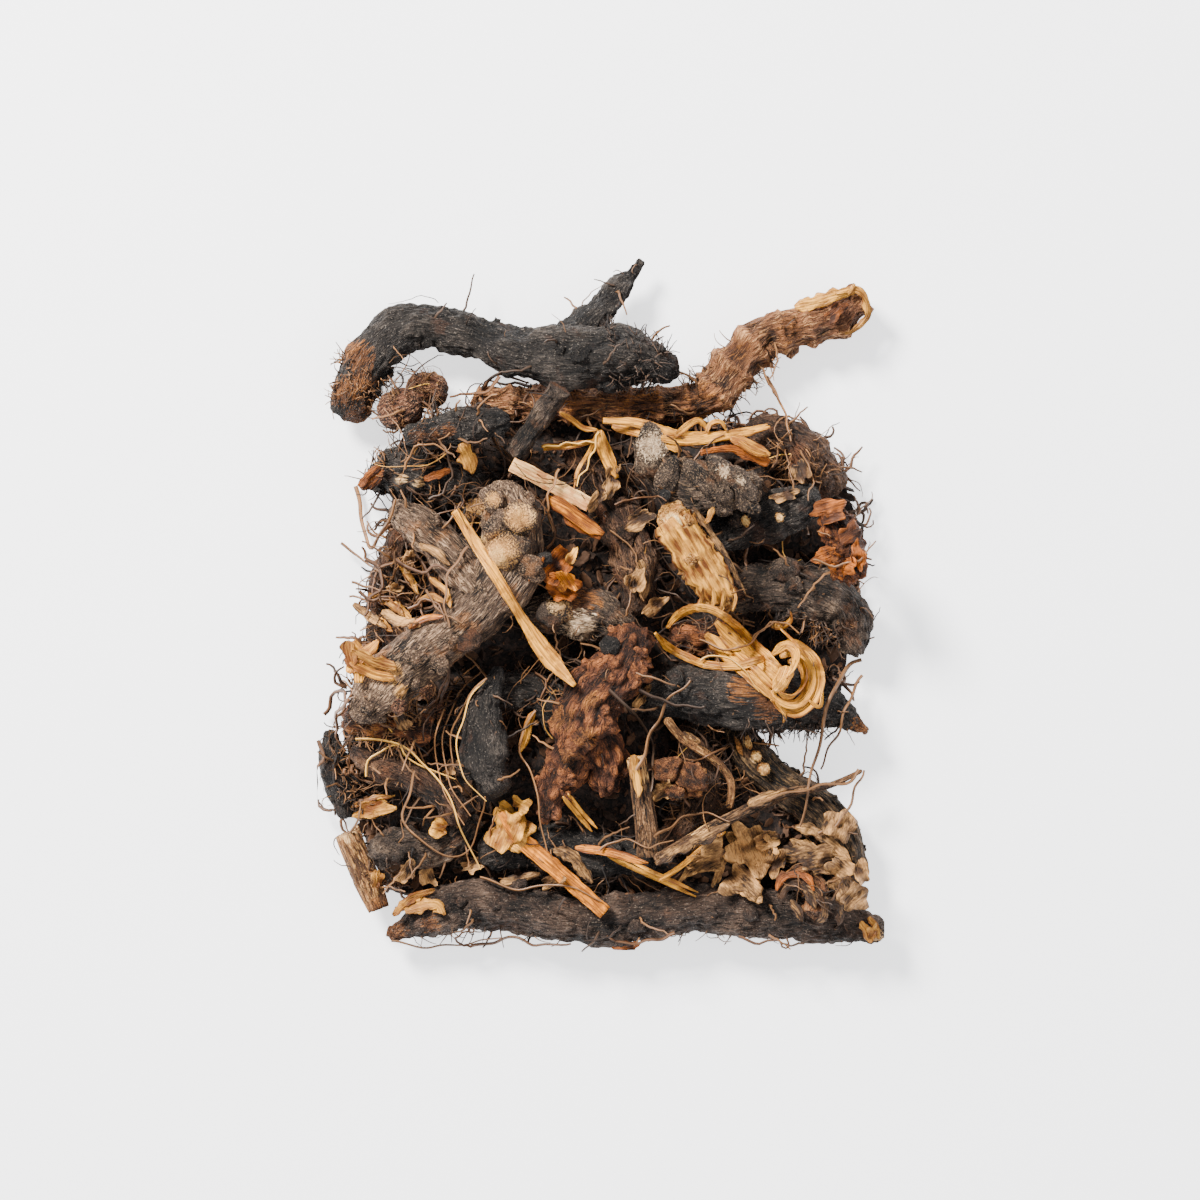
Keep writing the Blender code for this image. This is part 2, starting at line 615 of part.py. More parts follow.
def add_object(name, shell, bark, collection):
    corners, faces = shell
    mesh = bpy.data.meshes.new(name)
    mesh.from_pydata([Vector(c) * MM for c in corners], [], faces)
    mesh.materials.append(material(bark))
    made = bpy.data.objects.new(name, mesh)
    collection.objects.link(made)
    return made


def keep_outer_shell(mesh):
    """Deletes every island of faces but the largest, so that no sealed pocket is left inside."""
    work = bmesh.new()
    work.from_mesh(mesh)
    islands = []
    unseen = set(work.faces)
    while unseen:
        island, edge = [], [unseen.pop()]
        while edge:
            face = edge.pop()
            island.append(face)
            beyond = {f for e in face.edges for f in e.link_faces} & unseen
            unseen -= beyond
            edge += beyond
        islands.append(island)
    islands.sort(key=len)
    for island in islands[:-1]:
        bmesh.ops.delete(work, geom=island, context="FACES")
    work.to_mesh(mesh)
    work.free()


def join_all(body, extras, name):
    """Unions the extra shells into the body and removes them."""
    if not extras:
        return
    helpers = bpy.data.collections.new(name + "_parts")
    bpy.context.scene.collection.children.link(helpers)
    for index, shell in enumerate(extras):
        add_object(f"{name}_part_{index}", shell, body.data.materials[0].name, helpers)
    join = body.modifiers.new("join", "BOOLEAN")
    join.operation = "UNION"
    join.operand_type = "COLLECTION"
    join.collection = helpers
    join.solver = "MANIFOLD"
    graph = bpy.context.evaluated_depsgraph_get()
    joined = bpy.data.meshes.new_from_object(body.evaluated_get(graph))
    body.modifiers.clear()
    keep_outer_shell(joined)
    body.data = joined
    for helper in list(helpers.objects):
        bpy.data.objects.remove(helper)
    bpy.data.collections.remove(helpers)


def build():
    for old in list(bpy.data.objects):
        bpy.data.objects.remove(old)
    scene = bpy.context.scene.collection
    pile = Pile()
    pile.top[:] = MAT_FLOOR * 0.6
    lines, shells = {}, {}
    for number, root in enumerate([*ROOTS, *[l for l in LITTER if isinstance(l, Root)]]):
        step = 2.6 if root.thin else RIND_STEP
        sides = STEM_SIDES if root.thin else RIND_SIDES
        if root.ring_gap:
            step = root.ring_gap / 2
        main = lay_root(root.route, pile, step, stiffness=60 if root.thin else 30)
        routes = [main]
        for branch in root.branches:
            routes.append(lay_root(branch, pile, step, joined=main))
        for line in routes:
            cover(pile, line, 0.8)
        swell = None if root.thin else bark_swell(root, number)
        lines[root.name] = routes
        shells[root.name] = [tube(line, sides, swell, not root.cut_ends) for line in routes]
    blades = [b for b in LITTER if isinstance(b, Blade)]
    for blade in blades:
        shells[blade.name] = [ribbon(blade, pile)]
    shells["fine_root_mat"] = [fine_root_mat(pile)]
    trees = {name: [bvh(shell) for shell in parts] for name, parts in shells.items()}
    taken = np.empty((0, 3))
    roots = [*ROOTS, *[l for l in LITTER if isinstance(l, Root)]]
    for number, root in enumerate(roots):
        draw = random.Random(1000 + number)
        others = [tree for name, several in trees.items() if name != root.name for tree in several]
        extras = list(shells[root.name][1:])
        for _ in range(root.buds):
            line = lines[root.name][0]
            for _attempt in range(12):
                k = draw.randrange(len(line))
                if line[k, 3] < LEAST_BEARER:
                    continue
                _, side, up = frames_along(line[:, :3])
                angle = draw.uniform(0.1, math.pi - 0.1)
                out = math.cos(angle) * side[k] + math.sin(angle) * up[k]
                size = line[k, 3] * draw.uniform(0.32, 0.46)
                centre = line[k, :3] + out * (line[k, 3] - size * 0.25)
                if not near_something(others, centre, size + 0.4):
                    extras.append(ball(centre, size))
                    break
        grown = 0
        for _attempt in range(root.rootlets * 14):
            if grown == root.rootlets:
                break
            line = lines[root.name][draw.randrange(len(lines[root.name]))]
            rootlet = grow_rootlet(line, draw, others, taken)
            if rootlet is not None:
                extras.append(tube(rootlet, 3, None, False))
                taken = np.vstack([taken, densely(rootlet[1:, :3], 0.6)])
                grown += 1
        body = add_object(root.name, shells[root.name][0], root.bark, scene)
        join_all(body, extras, root.name)
        print(root.name, "rootlets", grown, "faces", sum(len(p.vertices) - 2 for p in body.data.polygons))
    for blade in blades:
        add_object(blade.name, shells[blade.name][0], blade.bark, scene)
    add_object("fine_root_mat", shells["fine_root_mat"][0], "mat", scene)
    for made in scene.objects:
        made.data.shade_smooth()
        made.data.set_sharp_from_angle(angle=math.radians(50))


build()
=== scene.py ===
"""A matted clump of dried nutgrass root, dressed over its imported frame.

Lengths are in millimetres on the layout, and meshes are made in metres. The layout below is the one
that the frame's own solids were laid out by, so each finer piece lies where its node lies.
"""

import math
import random
from dataclasses import dataclass, field

import bpy
import numpy as np
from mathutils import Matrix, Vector, noise
from mathutils.bvhtree import BVHTree


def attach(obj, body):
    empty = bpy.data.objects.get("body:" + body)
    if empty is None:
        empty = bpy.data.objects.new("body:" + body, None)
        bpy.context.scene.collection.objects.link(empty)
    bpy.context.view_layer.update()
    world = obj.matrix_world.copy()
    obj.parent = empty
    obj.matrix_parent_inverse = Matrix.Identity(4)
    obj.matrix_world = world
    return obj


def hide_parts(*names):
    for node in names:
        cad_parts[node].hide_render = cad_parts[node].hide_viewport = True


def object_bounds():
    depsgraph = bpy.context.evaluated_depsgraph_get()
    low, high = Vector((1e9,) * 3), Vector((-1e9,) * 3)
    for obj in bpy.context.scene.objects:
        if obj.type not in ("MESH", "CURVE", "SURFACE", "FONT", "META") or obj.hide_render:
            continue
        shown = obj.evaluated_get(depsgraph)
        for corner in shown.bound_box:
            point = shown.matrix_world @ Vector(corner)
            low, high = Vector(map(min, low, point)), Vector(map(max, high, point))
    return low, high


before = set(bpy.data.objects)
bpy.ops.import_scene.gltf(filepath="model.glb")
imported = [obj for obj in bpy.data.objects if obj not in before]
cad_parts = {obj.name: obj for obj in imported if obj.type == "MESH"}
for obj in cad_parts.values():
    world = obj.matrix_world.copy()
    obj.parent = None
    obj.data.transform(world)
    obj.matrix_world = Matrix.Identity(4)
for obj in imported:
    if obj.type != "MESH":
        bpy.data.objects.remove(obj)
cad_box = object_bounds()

MM = 0.001

# Driving dimensions
MAT_FLOOR = 1.2  # least thickness of the fine-root mat under a rhizome
MAT_TOP = 9.0  # how high the mat swells between the rhizomes
LAY_GAP = 0.45  # air between a root and what it lies on
LAY_SWELL = 1.13  # how far a rhizome's bark bulges past its stated radius
BLADE_THICK = 0.8
ROOTLET_THICK = 1.0  # at its root; the tip is half of it
LEAST_BEARER = 2.3  # radius of the thinnest rhizome that carries rootlets and buds
GROWTH_CELL = 0.5  # side of a cell of the height map
RIND_STEP = 4.2  # distance between rings of a rhizome
RIND_SIDES = 9
STEM_SIDES = 7
BULGE = 0.92  # how far a rounded end reaches past its last ring, in radii
CLEAR = 0.4  # least air between what grows on a root and its neighbours
GROWTH_LIMIT = (57, 70, 33)  # a rootlet stays within this far of the origin along x, y and z
FIBRE_WIDTH = 0.34
FINE_RING = 0.42  # distance between the corners of a finer skin's ring
WART_GAP = 4.5  # length of root for each small lump on it
HUSK_CORE = 0.84  # the share of the husk's radius that is bark under its sheet
HUSK_RISE, HUSK_SPAN = 0.93, 2.6  # how high the sheet lies and how wide it is, in the same radii
LEAF_THICK = 0.3

# Outline of the mat of fine roots, anticlockwise from the right end
MAT_OUTLINE = [
    (51.4, -5.8), (52.4, 4.2), (52.8, 14.2), (50.0, 26.2), (42.8, 34.8), (30.4, 36.2),
    (18.4, 39.8), (0.4, 41.8), (-19.6, 41.8), (-31.6, 38.2), (-39.6, 31.2), (-42.0, 21.0),
    (-43.0, 10.2), (-46.4, -1.8), (-49.6, -13.8), (-51.6, -25.8), (-49.6, -37.8),
    (-46.0, -49.8), (-41.6, -56.8), (-29.6, -60.8), (-13.6, -61.8), (4.4, -62.8),
    (24.4, -62.8), (40.4, -62.4), (49.0, -57.8), (48.0, -48.8), (42.0, -42.0), (32.0, -34.0),
    (27.0, -28.5), (31.0, -24.0), (40.4, -22.2), (48.4, -15.8),
]
MAT_CENTRE = (0.0, -8.0)
MAT_RINGS = 8
MAT_SPOKES = 46
BOX_MARGIN = 0.00004  # metres that every piece keeps inside the frame's box


@dataclass
class Root:
    """A root, stem or strand: its route seen from above, as (x, y, radius)."""

    name: str
    bark: str
    route: list
    branches: list = field(default_factory=list)
    buds: int = 0
    ring_gap: float = 0.0
    rootlets: int = 0
    thin: bool = False
    cut_ends: bool = False


@dataclass
class Blade:
    """A dry leaf blade, sheath or splinter: its route seen from above, as (x, y, full width)."""

    name: str
    bark: str
    route: list
    thick: float = BLADE_THICK
    cup: float = 0.0


# The rhizomes in the order in which they lie, the lowest first
ROOTS = [
    Root("rhizome_under_left", "umber", [(-40, 14, 3.2), (-42, 4, 4.0), (-40, -5, 3.4)], rootlets=7),
    Root("rhizome_under_centre", "black", [(-31, -24, 3.4), (-22, -18, 4.2), (-13, -17, 4.4), (-7, -22, 3.6)],
        rootlets=3),
    Root("rhizome_under_middle", "umber", [(-3, 31, 3.6), (3, 22, 4.6), (7, 11, 4.8), (8, 3, 3.8)], buds=2,
        rootlets=3),
    Root("rhizome_under_right", "umber", [(19, -25, 3.0), (21.4, -32, 4.3), (19.4, -40.4, 4.4), (15, -46, 3.2)],
        buds=2, rootlets=2),
    Root("rhizome_under_foot", "black", [(-21, -49, 3.6), (-9, -47, 4.4), (1, -49, 4.2), (9, -50, 3.4)], rootlets=3),
    Root("rhizome_under_knot", "russet", [(17, -5.4, 3.0), (22, -5.6, 3.8), (28, -7.0, 3.4)], rootlets=3),
    Root("rhizome_bottom", "black", [(-41, -65, 1.6), (-37, -63, 3.4), (-28.6, -59.4, 4.8), (-15.6, -60, 5.0),
        (-1.6, -62.6, 4.8), (10.4, -61, 5.0), (24.4, -59.6, 5.2), (38.4, -61.6, 4.8), (49, -63, 4.2),
        (55, -64.4, 3.0)], buds=3, rootlets=9),
    Root("rhizome_spotted", "spotted", [(28, -23.5, 3.0), (30.8, -29, 3.7), (37.4, -35, 4.0), (44.4, -40, 4.2),
        (49.4, -46.8, 4.0), (51.4, -52.6, 3.2)], rootlets=5),
    Root("rhizome_pointed", "black", [(12, -17, 4.0), (19, -16.6, 5.6), (28, -17.6, 6.2), (37.4, -17.6, 6.2),
        (46, -19.4, 4.4), (53.4, -23.6, 0.9)], buds=2, rootlets=7),
    Root("rhizome_right_back", "umber", [(33, 35.5, 4.2), (40, 32.4, 5.4), (45.6, 26.4, 4.4)], buds=2, rootlets=6),
    Root("rhizome_right_grey", "ash", [(25.6, 3.4, 3.8), (32, 4.8, 5.2), (41, 3.6, 5.8), (48.6, 0.6, 5.4),
        (51.8, -5.6, 3.6)], buds=3, rootlets=9),
    Root("rhizome_upturned", "ringed_brown", [(-23, 42, 2.8), (-11.6, 42, 3.6), (0.4, 41.4, 3.6), (12.4, 41.4, 3.7),
        (21.4, 42.8, 4.2), (28, 49.8, 4.7), (33.6, 55, 4.5), (40.4, 56.8, 4.1), (47.4, 58.8, 4.3), (51.4, 61.6, 3.4)],
        ring_gap=6.0, rootlets=11),
    Root("rhizome_arched", "black", [(-49.6, 41.8, 4.0), (-47.2, 49, 5.1), (-41.2, 55.6, 4.9), (-33.6, 57.4, 4.3),
        (-24.6, 55.2, 4.3), (-14.6, 51.8, 5.3), (-3.6, 50.6, 6.4), (6.4, 50.8, 6.2), (13.4, 48.4, 3.4)],
        branches=[[(-8, 53.4, 3.8), (-1, 59.2, 3.4), (4.4, 64.8, 2.5), (8.2, 70.2, 0.9)]], buds=3, rootlets=9),
    Root("tuber_inner", "coir", [(-35.6, 44.6, 3.4), (-33.4, 44.4, 3.6)], rootlets=3),
    Root("tuber_outer", "coir", [(-40.6, 40.0, 4.0), (-38.8, 40.6, 4.1)], rootlets=3),
    Root("rhizome_left_ringed", "black", [(-47, 25.6, 1.2), (-43.4, 26.6, 3.6), (-38.6, 27.6, 5.6),
        (-31.8, 25.8, 5.4), (-25.6, 24.6, 4.0)], ring_gap=3.0, rootlets=7),
    Root("rhizome_left_upper", "black", [(-36.4, 34.8, 2.6), (-31.6, 35.8, 3.6), (-26.6, 36.8, 4.0),
        (-20, 37.6, 3.0)], buds=2, rootlets=5),
    Root("rhizome_left_dark", "black", [(-54, -25.6, 1.9), (-53.6, -29.6, 3.0), (-52.4, -34.8, 3.2),
        (-50.8, -39.8, 2.4)], rootlets=5),
    Root("stem_left", "wood", [(-50.4, -44.6, 2.4), (-48, -50.4, 2.7), (-45.6, -56.2, 2.7), (-44.2, -60, 2.4)],
        rootlets=3, cut_ends=True),
    Root("rhizome_fibrous", "russet", [(-48.4, -21.8, 3.2), (-42.6, -23, 3.8), (-35.6, -24, 3.2)], rootlets=9),
    Root("rhizome_lower_left", "ash", [(-43, -47.6, 3.2), (-39, -47.2, 4.2), (-34, -47.6, 3.4), (-29.4, -46.4, 2.7),
        (-25.8, -42.6, 2.5)], buds=2, rootlets=5),
    Root("rhizome_curved", "umber", [(-48.2, -28, 1.7), (-43.6, -31, 2.9), (-38, -33.8, 3.2), (-32.4, -36.8, 3.2),
        (-28.6, -40.6, 2.7)], rootlets=9),
    Root("rhizome_bottle", "black", [(-20.2, -12.4, 1.5), (-22, -17, 2.5), (-22.8, -22.4, 3.8), (-22.8, -29.2, 5.2),
        (-21, -34, 3.4)], rootlets=5),
    Root("rhizome_right_dark", "black", [(21.4, 15.2, 3.2), (28.4, 17, 4.4), (35.4, 19.2, 4.9), (41, 21.4, 4.4)],
        buds=2, rootlets=5),
    Root("bark_torn", "amber", [(46.4, 18.6, 2.6), (48.8, 14.2, 4.4), (50.2, 8.8, 3.6)], buds=3, rootlets=1),
    Root("rhizome_woolly", "wool", [(10, 34, 3.3), (12.8, 28.8, 4.8), (18.4, 25, 5.7), (24.8, 24.6, 5.4),
        (29.6, 24.4, 3.4)], buds=5, rootlets=6),
    Root("rhizome_cut_face", "wool", [(-13.0, -0.8, 3.4), (-6.8, -0.2, 5.0), (0.4, -1.4, 5.0), (4.4, -3.4, 3.6)],
        buds=2, rootlets=4),
    Root("rhizome_grey", "grey", [(-18.4, 21.6, 5.0), (-17.2, 16, 6.6), (-17.4, 9.2, 6.3), (-22, 2.6, 6.1),
        (-29.6, -4.4, 5.8), (-37.6, -10.4, 5.7), (-43.6, -16, 5.0), (-46, -19.4, 3.6)], branches=[[(-39, 19.4, 3.2),
        (-34.6, 16.4, 4.1), (-29.2, 11.4, 4.3), (-24, 5.2, 4.3)]], buds=5, rootlets=9),
    Root("rhizome_russet", "russet", [(7, -6.4, 4.0), (4.6, -11, 4.9), (-0.8, -17, 6.3), (-3.4, -23.4, 6.4),
        (-6, -30.6, 4.2), (-9.2, -36.6, 3.2), (-10.2, -40.2, 2.0)], branches=[[(-1.2, -24, 4.6), (1.4, -29.6, 4.2),
        (1.8, -34, 3.0)]], buds=5, rootlets=4),
    Root("lump_crumbly", "clay", [(14.6, -33.4, 3.2), (19.0, -34.2, 3.2)], buds=5),
    Root("ear_curled", "ringed_brown", [(36.8, -53.8, 1.6), (40.2, -52.6, 2.2), (43.4, -55, 2.4), (43.4, -59.4, 2.4)],
        rootlets=2),
    Root("husk_rolled", "tan", [(14.8, 18.6, 4.0), (18.8, 12, 4.6), (22.6, 5.6, 4.5), (24.6, 1.8, 3.2)], buds=1),
    Root("stem_cut", "wood", [(7.6, -29.2, 2.0), (8.6, -35.8, 2.1), (9.6, -42.8, 2.3), (10.4, -49, 2.8)], thin=True,
        cut_ends=True),
    Root("stem_grey", "ash", [(-7.6, 44.2, 2.4), (-11.6, 38.6, 2.3), (-17, 31, 2.1)], thin=True, cut_ends=True),
]

# Dry leaf blades, sheaths, splinters and thin stems, which lie on the rhizomes
LITTER = [
    Root("stem_hooked", "straw", [(14, -22, 0.9), (17, -25.6, 0.9), (23, -29.6, 0.9), (26.6, -34, 0.8),
        (26.4, -39, 0.8)], thin=True),
    Root("stem_crossing", "wood", [(12, -49, 1.0), (24.4, -42.4, 1.2), (38, -36.6, 1.1), (46.4, -35, 0.7),
        (52.6, -32.2, 0.5)], thin=True),
    Root("leaf_knot_stem", "straw", [(22.6, -4.2, 1.0), (29, -8.6, 1.5), (35, -13.4, 1.7), (38.6, -15.6, 1.2)],
        thin=True),
    Root("leaf_knot_strap", "straw", [(11.2, -4.4, 0.8), (17.6, -8.8, 1.1), (25.8, -10.8, 1.1), (33, -9.6, 1.0),
        (37, -9.0, 0.8)], thin=True),
    Root("leaf_knot_loop", "straw", [(14, -3, 0.7), (20.2, -0.4, 1.0), (26.8, -2.2, 1.2), (33, -6.6, 1.3),
        (38.6, -9.6, 1.4), (42.2, -12.4, 1.5), (42, -17.2, 1.5), (38.2, -19.4, 1.4), (35.4, -16.8, 1.2)], thin=True),
    Blade("leaf_long", "straw", [(-28.4, 20, 1.8), (-22.2, 10.2, 2.4), (-15.2, -1.2, 2.0), (-10, -8.8, 3.6),
        (-4.6, -14.8, 0.9)]),
    Blade("splinter_pink", "pinewood", [(-17.2, 29.4, 3.0), (-9.4, 25.3, 3.0), (-1.6, 21.2, 3.0)], thick=1.2),
    Blade("bud_scale_orange", "amber", [(-7.6, 21.4, 1.4), (-4, 18, 4.2), (0.6, 14.6, 1.2)], thick=1.4, cup=0.5),
    Blade("leaf_short", "straw", [(0.2, 36.2, 1.0), (2, 31, 2.6), (3.8, 26.6, 0.9)]),
    Blade("leaf_thin", "straw", [(-11, 32.6, 1.0), (-5, 33.2, 1.2), (0, 34.2, 0.9)]),
    Blade("leaf_bundle", "straw", [(1, 38, 1.2), (8.4, 37.4, 2.0), (16.4, 34.6, 2.9), (25.4, 35, 2.2), (34, 37, 1.0)],
        cup=0.4),
    Blade("leaf_tip_amber", "amber", [(20.4, 31.6, 1.2), (26.4, 32.4, 1.6), (30.6, 31.4, 3.4), (34.2, 29.6, 1.6)]),
    Blade("sheath_orange", "pinewood", [(-19.6, -40.4, 1.2), (-15.4, -45.6, 3.4), (-7, -53, 3.4), (1.4, -60.4, 3.0)],
        cup=0.5),
    Blade("scale_pale", "tan", [(-21.4, -40.6, 5.0), (-17.2, -42.4, 8.6), (-13.6, -45.4, 5.4)], cup=1.2),
    Blade("scale_lower_a", "dead_leaf", [(26.4, -43.4, 3.0), (29.6, -47, 6.4), (32.4, -51.4, 3.0)], cup=0.8),
    Blade("scale_lower_b", "dead_leaf", [(26.6, -53, 2.6), (30, -55.2, 5.8), (33.6, -56.8, 2.2)], cup=0.9),
    Blade("scale_lower_c", "dead_leaf", [(16.6, -52.6, 3.0), (21, -48.8, 4.4), (25.4, -44.8, 2.6)], cup=0.8),
    Blade("scale_lower_d", "dead_leaf", [(38.6, -46, 3.4), (43.4, -49, 5.2), (47.4, -51.4, 3.0)], cup=0.8),
    Blade("chip_left", "tan", [(-48.6, -40.8, 2.6), (-44.8, -39.8, 4.0), (-41.4, -38.4, 3.6)], thick=1.1, cup=0.3),
    Blade("chip_middle", "tan", [(-34.0, -42.6, 3.4), (-31.8, -43.6, 4.0), (-29.8, -44.6, 3.2)], thick=1.1, cup=0.2),
    Blade("chip_foot", "tan", [(-39.4, -60.2, 2.4), (-35.6, -59.2, 3.2), (-32.2, -58.8, 2.6)], thick=1.0, cup=0.4),
    Blade("sheath_left", "straw", [(-49.4, -6.6, 3.4), (-47.6, -9.4, 4.2), (-47.4, -14.2, 1.6)], cup=0.6),
]

SQUARES = 5  # squares of the layout sheet to a millimetre, counted right and down from its corner
SHEET_LEFT = 598  # where the origin lies on it
SHEET_TOP = 611


def plan(square_x, square_y):
    """Millimetres right and up of the origin for a square of the layout sheet."""
    return (square_x - SHEET_LEFT) / SQUARES, (SHEET_TOP - square_y) / SQUARES


def srgb(*colour):
    """A colour given from 0 to 255 as the linear colour that a shader takes."""
    return (*((c / 255 / 12.92 if c < 11 else ((c / 255 + 0.055) / 1.055) ** 2.4) for c in colour), 1)


# Finer meshes -----------------------------------------------------------------------------------


def lengths_along(points):
    return np.concatenate([[0], np.cumsum(np.linalg.norm(np.diff(points[:, :3], axis=0), axis=1))])


def curve_through(p, ends, steps):
    """A smooth curve through the points, with steps points from each to the next."""
    t = np.linspace(0, 1, steps, endpoint=False)[:, None]
    spans = []
    for a, b, c, d in zip(ends[:-3], ends[1:-2], ends[2:-1], ends[3:]):
        spans.append(0.5 * (2 * b + (c - a) * t + (2 * a - 5 * b + 4 * c - d) * t**2 + (3 * b - 3 * c + d - a) * t**3))
    return np.vstack([*spans, p[-1:]])


def beyond(p):
    """The points with one more at each end, in line with the last two."""
    return np.vstack([2 * p[0] - p[1], p, 2 * p[-1] - p[-2]])


def resampled(line, run, at):
    """The line's rows at the lengths at, where run is how far along it each row is."""
    return np.stack([np.interp(at, run, column) for column in line.T], axis=1)


def densely(line, step=0.8, run=None):
    """The line's rows about every step along it."""
    run = lengths_along(line) if run is None else run
    return resampled(line, run, np.linspace(0, run[-1], max(2, round(run[-1] / step)) + 1))


def finely(line, step):
    """A smooth curve through a laid line's rows of x, y, z and one more, every step along it."""
    p = np.array(line, float)
    return densely(curve_through(p, beyond(p), 12), step)


def put(made, name, values, kind="FLOAT", key="value"):
    """Stores a value at each corner of the mesh."""
    made.attributes.new(name, kind, "POINT").data.foreach_set(key, values)


class Shell:
    """Corners, faces and the values that each corner carries, gathered for one object."""

    def __init__(self):
        self.corners, self.faces, self.grain = [], [], []
        self.marks = {"pale": [], "rust": [], "tone": []}
        self.count = 0

    def add(self, corners, faces, grain, **marks):
        corners = np.asarray(corners, float)
        self.corners.append(corners)
        self.grain.append(np.asarray(grain, float))
        for name, values in self.marks.items():
            value = np.asarray(marks.get(name, 0.6 if name == "tone" else 0.0), float)
            values.append(np.broadcast_to(value, len(corners)))
        start = self.count
        self.faces += [tuple(start + i for i in face) for face in faces]
        self.count += len(corners)

    def mesh(self, name):
        corners = np.vstack(self.corners) * MM
        made = bpy.data.meshes.new(name)
        made.from_pydata(corners, [], self.faces)
        put(made, "grain", np.vstack(self.grain).ravel(), "FLOAT_VECTOR", "vector")
        for mark, values in self.marks.items():
            put(made, mark, np.concatenate(values))
        return made


def tube_faces(rings, around, poles=True):
    faces = [
        (a * around + i, (a + 1) * around + i, (a + 1) * around + (i + 1) % around, a * around + (i + 1) % around)
        for a in range(rings - 1)
        for i in range(around)
    ]
    if poles:
        first, last, foot = rings * around, rings * around + 1, (rings - 1) * around
        faces += [(first, i, (i + 1) % around) for i in range(around)]
        faces += [(last, foot + (i + 1) % around, foot + i) for i in range(around)]
    return faces


def skin(line, sides, swell=None, caps=(), reach=0.0):
    """A closed tube along the line: (corners, faces, grain). swell(run, angles) scales each ring's radius.

    A cap is one ring past an end, from the outermost in: its share of the end's radius, how far out it lies and
    how much further along it counts, in radii. The closing pole lies reach radii out.
    """
    centres, radii = line[:, :3], line[:, 3]
    tangents, side, up = frames_along(centres)
    run = lengths_along(centres)
    angles = np.linspace(0, 2 * math.pi, sides, endpoint=False)
    across, rise = np.cos(angles)[:, None], np.sin(angles)[:, None]
    ends = ((0, -1), (-1, 1))
    head, tail = (
        [
            (centres[k] + way * tangents[k] * radii[k] * out, k, radii[k] * share, run[k] + way * radii[k] * further)
            for share, out, further in caps
        ]
        for k, way in ends
    )
    rings = [*head, *zip(centres, range(len(line)), radii, run), *tail[::-1]]
    corners, grain = [], []
    for centre, k, radius, at in rings:
        scale = radius * (swell(at, angles) if swell else np.ones(sides))
        corners.append(centre + scale[:, None] * (across * side[k] + rise * up[k]))
        grain.append(np.column_stack([radius * across, radius * rise, np.full(sides, at)]))
    corners += [centres[k] + way * tangents[k] * radii[k] * reach for k, way in ends]
    return np.vstack(corners), tube_faces(len(rings), sides), np.vstack([*grain, (0, 0, 0), (0, 0, run[-1])])


PLAIN_CAPS = [(0.72, 0.62, 0.0)]
ROUND_CAPS = [(math.cos(a), BULGE * math.sin(a), math.sin(a)) for a in np.linspace(0, math.pi / 2, 7)[-2:0:-1]]
CUT_CAPS = [(share, 0.0, 1 - share) for share in (0.25, 0.5, 0.75, 0.93)]
CUT_REACH = 0.03


def add_skin(shell, line, swell, around, step, blunt, spots=(), offset=0.0):
    """A finer tube along the laid line with rounded or cut ends, and its coloured spots."""
    caps, reach = (ROUND_CAPS, BULGE) if blunt else (CUT_CAPS, CUT_REACH)
    corners, faces, grain = skin(finely(line, step), around, swell, caps, reach)
    shell.add(corners, faces, grain + (0, 0, offset), **paint_spots(corners, spots))


def paint_spots(corners, spots):
    """How pale or rusty each corner is from the spots near it, given as x, y, radius and kind."""
    marks = {"pale": np.zeros(len(corners)), "rust": np.zeros(len(corners))}
    for x, y, radius, kind in spots:
        reach = np.hypot(corners[:, 0] - x, corners[:, 1] - y) / radius
        marks[kind] = np.maximum(marks[kind], np.clip(1.25 - reach, 0, 1))
    return marks


def add_ball(
    shell, centre, size, squash=0.85, offset=0.0, rows=10, around=18, spots=(), stretch=1.0, heading=0.0
):
    """A bud or nut as an uneven closed shell, longer along its heading."""
    lat = np.linspace(0, math.pi, rows + 2)[1:-1]
    lon = np.linspace(0, 2 * math.pi, around, endpoint=False)
    ring = np.stack([np.cos(lon), np.sin(lon)], axis=1)
    corners = [np.column_stack([ring * math.sin(a), np.full(around, math.cos(a))]) for a in lat]
    corners = np.vstack([*corners, [(0, 0, 1), (0, 0, -1)]])
    uneven = [1 + 0.35 * noise.noise(Vector(corner) * 1.3 + Vector((offset, size, 0))) for corner in corners]
    corners = corners * np.array(uneven)[:, None] * (size * stretch, size, size * squash)
    grain = corners + (0, 0, offset)
    c, s = math.cos(heading), math.sin(heading)
    corners = corners @ np.array([[c, s, 0], [-s, c, 0], [0, 0, 1]]) + centre
    shell.add(corners, tube_faces(rows, around), grain, **paint_spots(corners, spots))


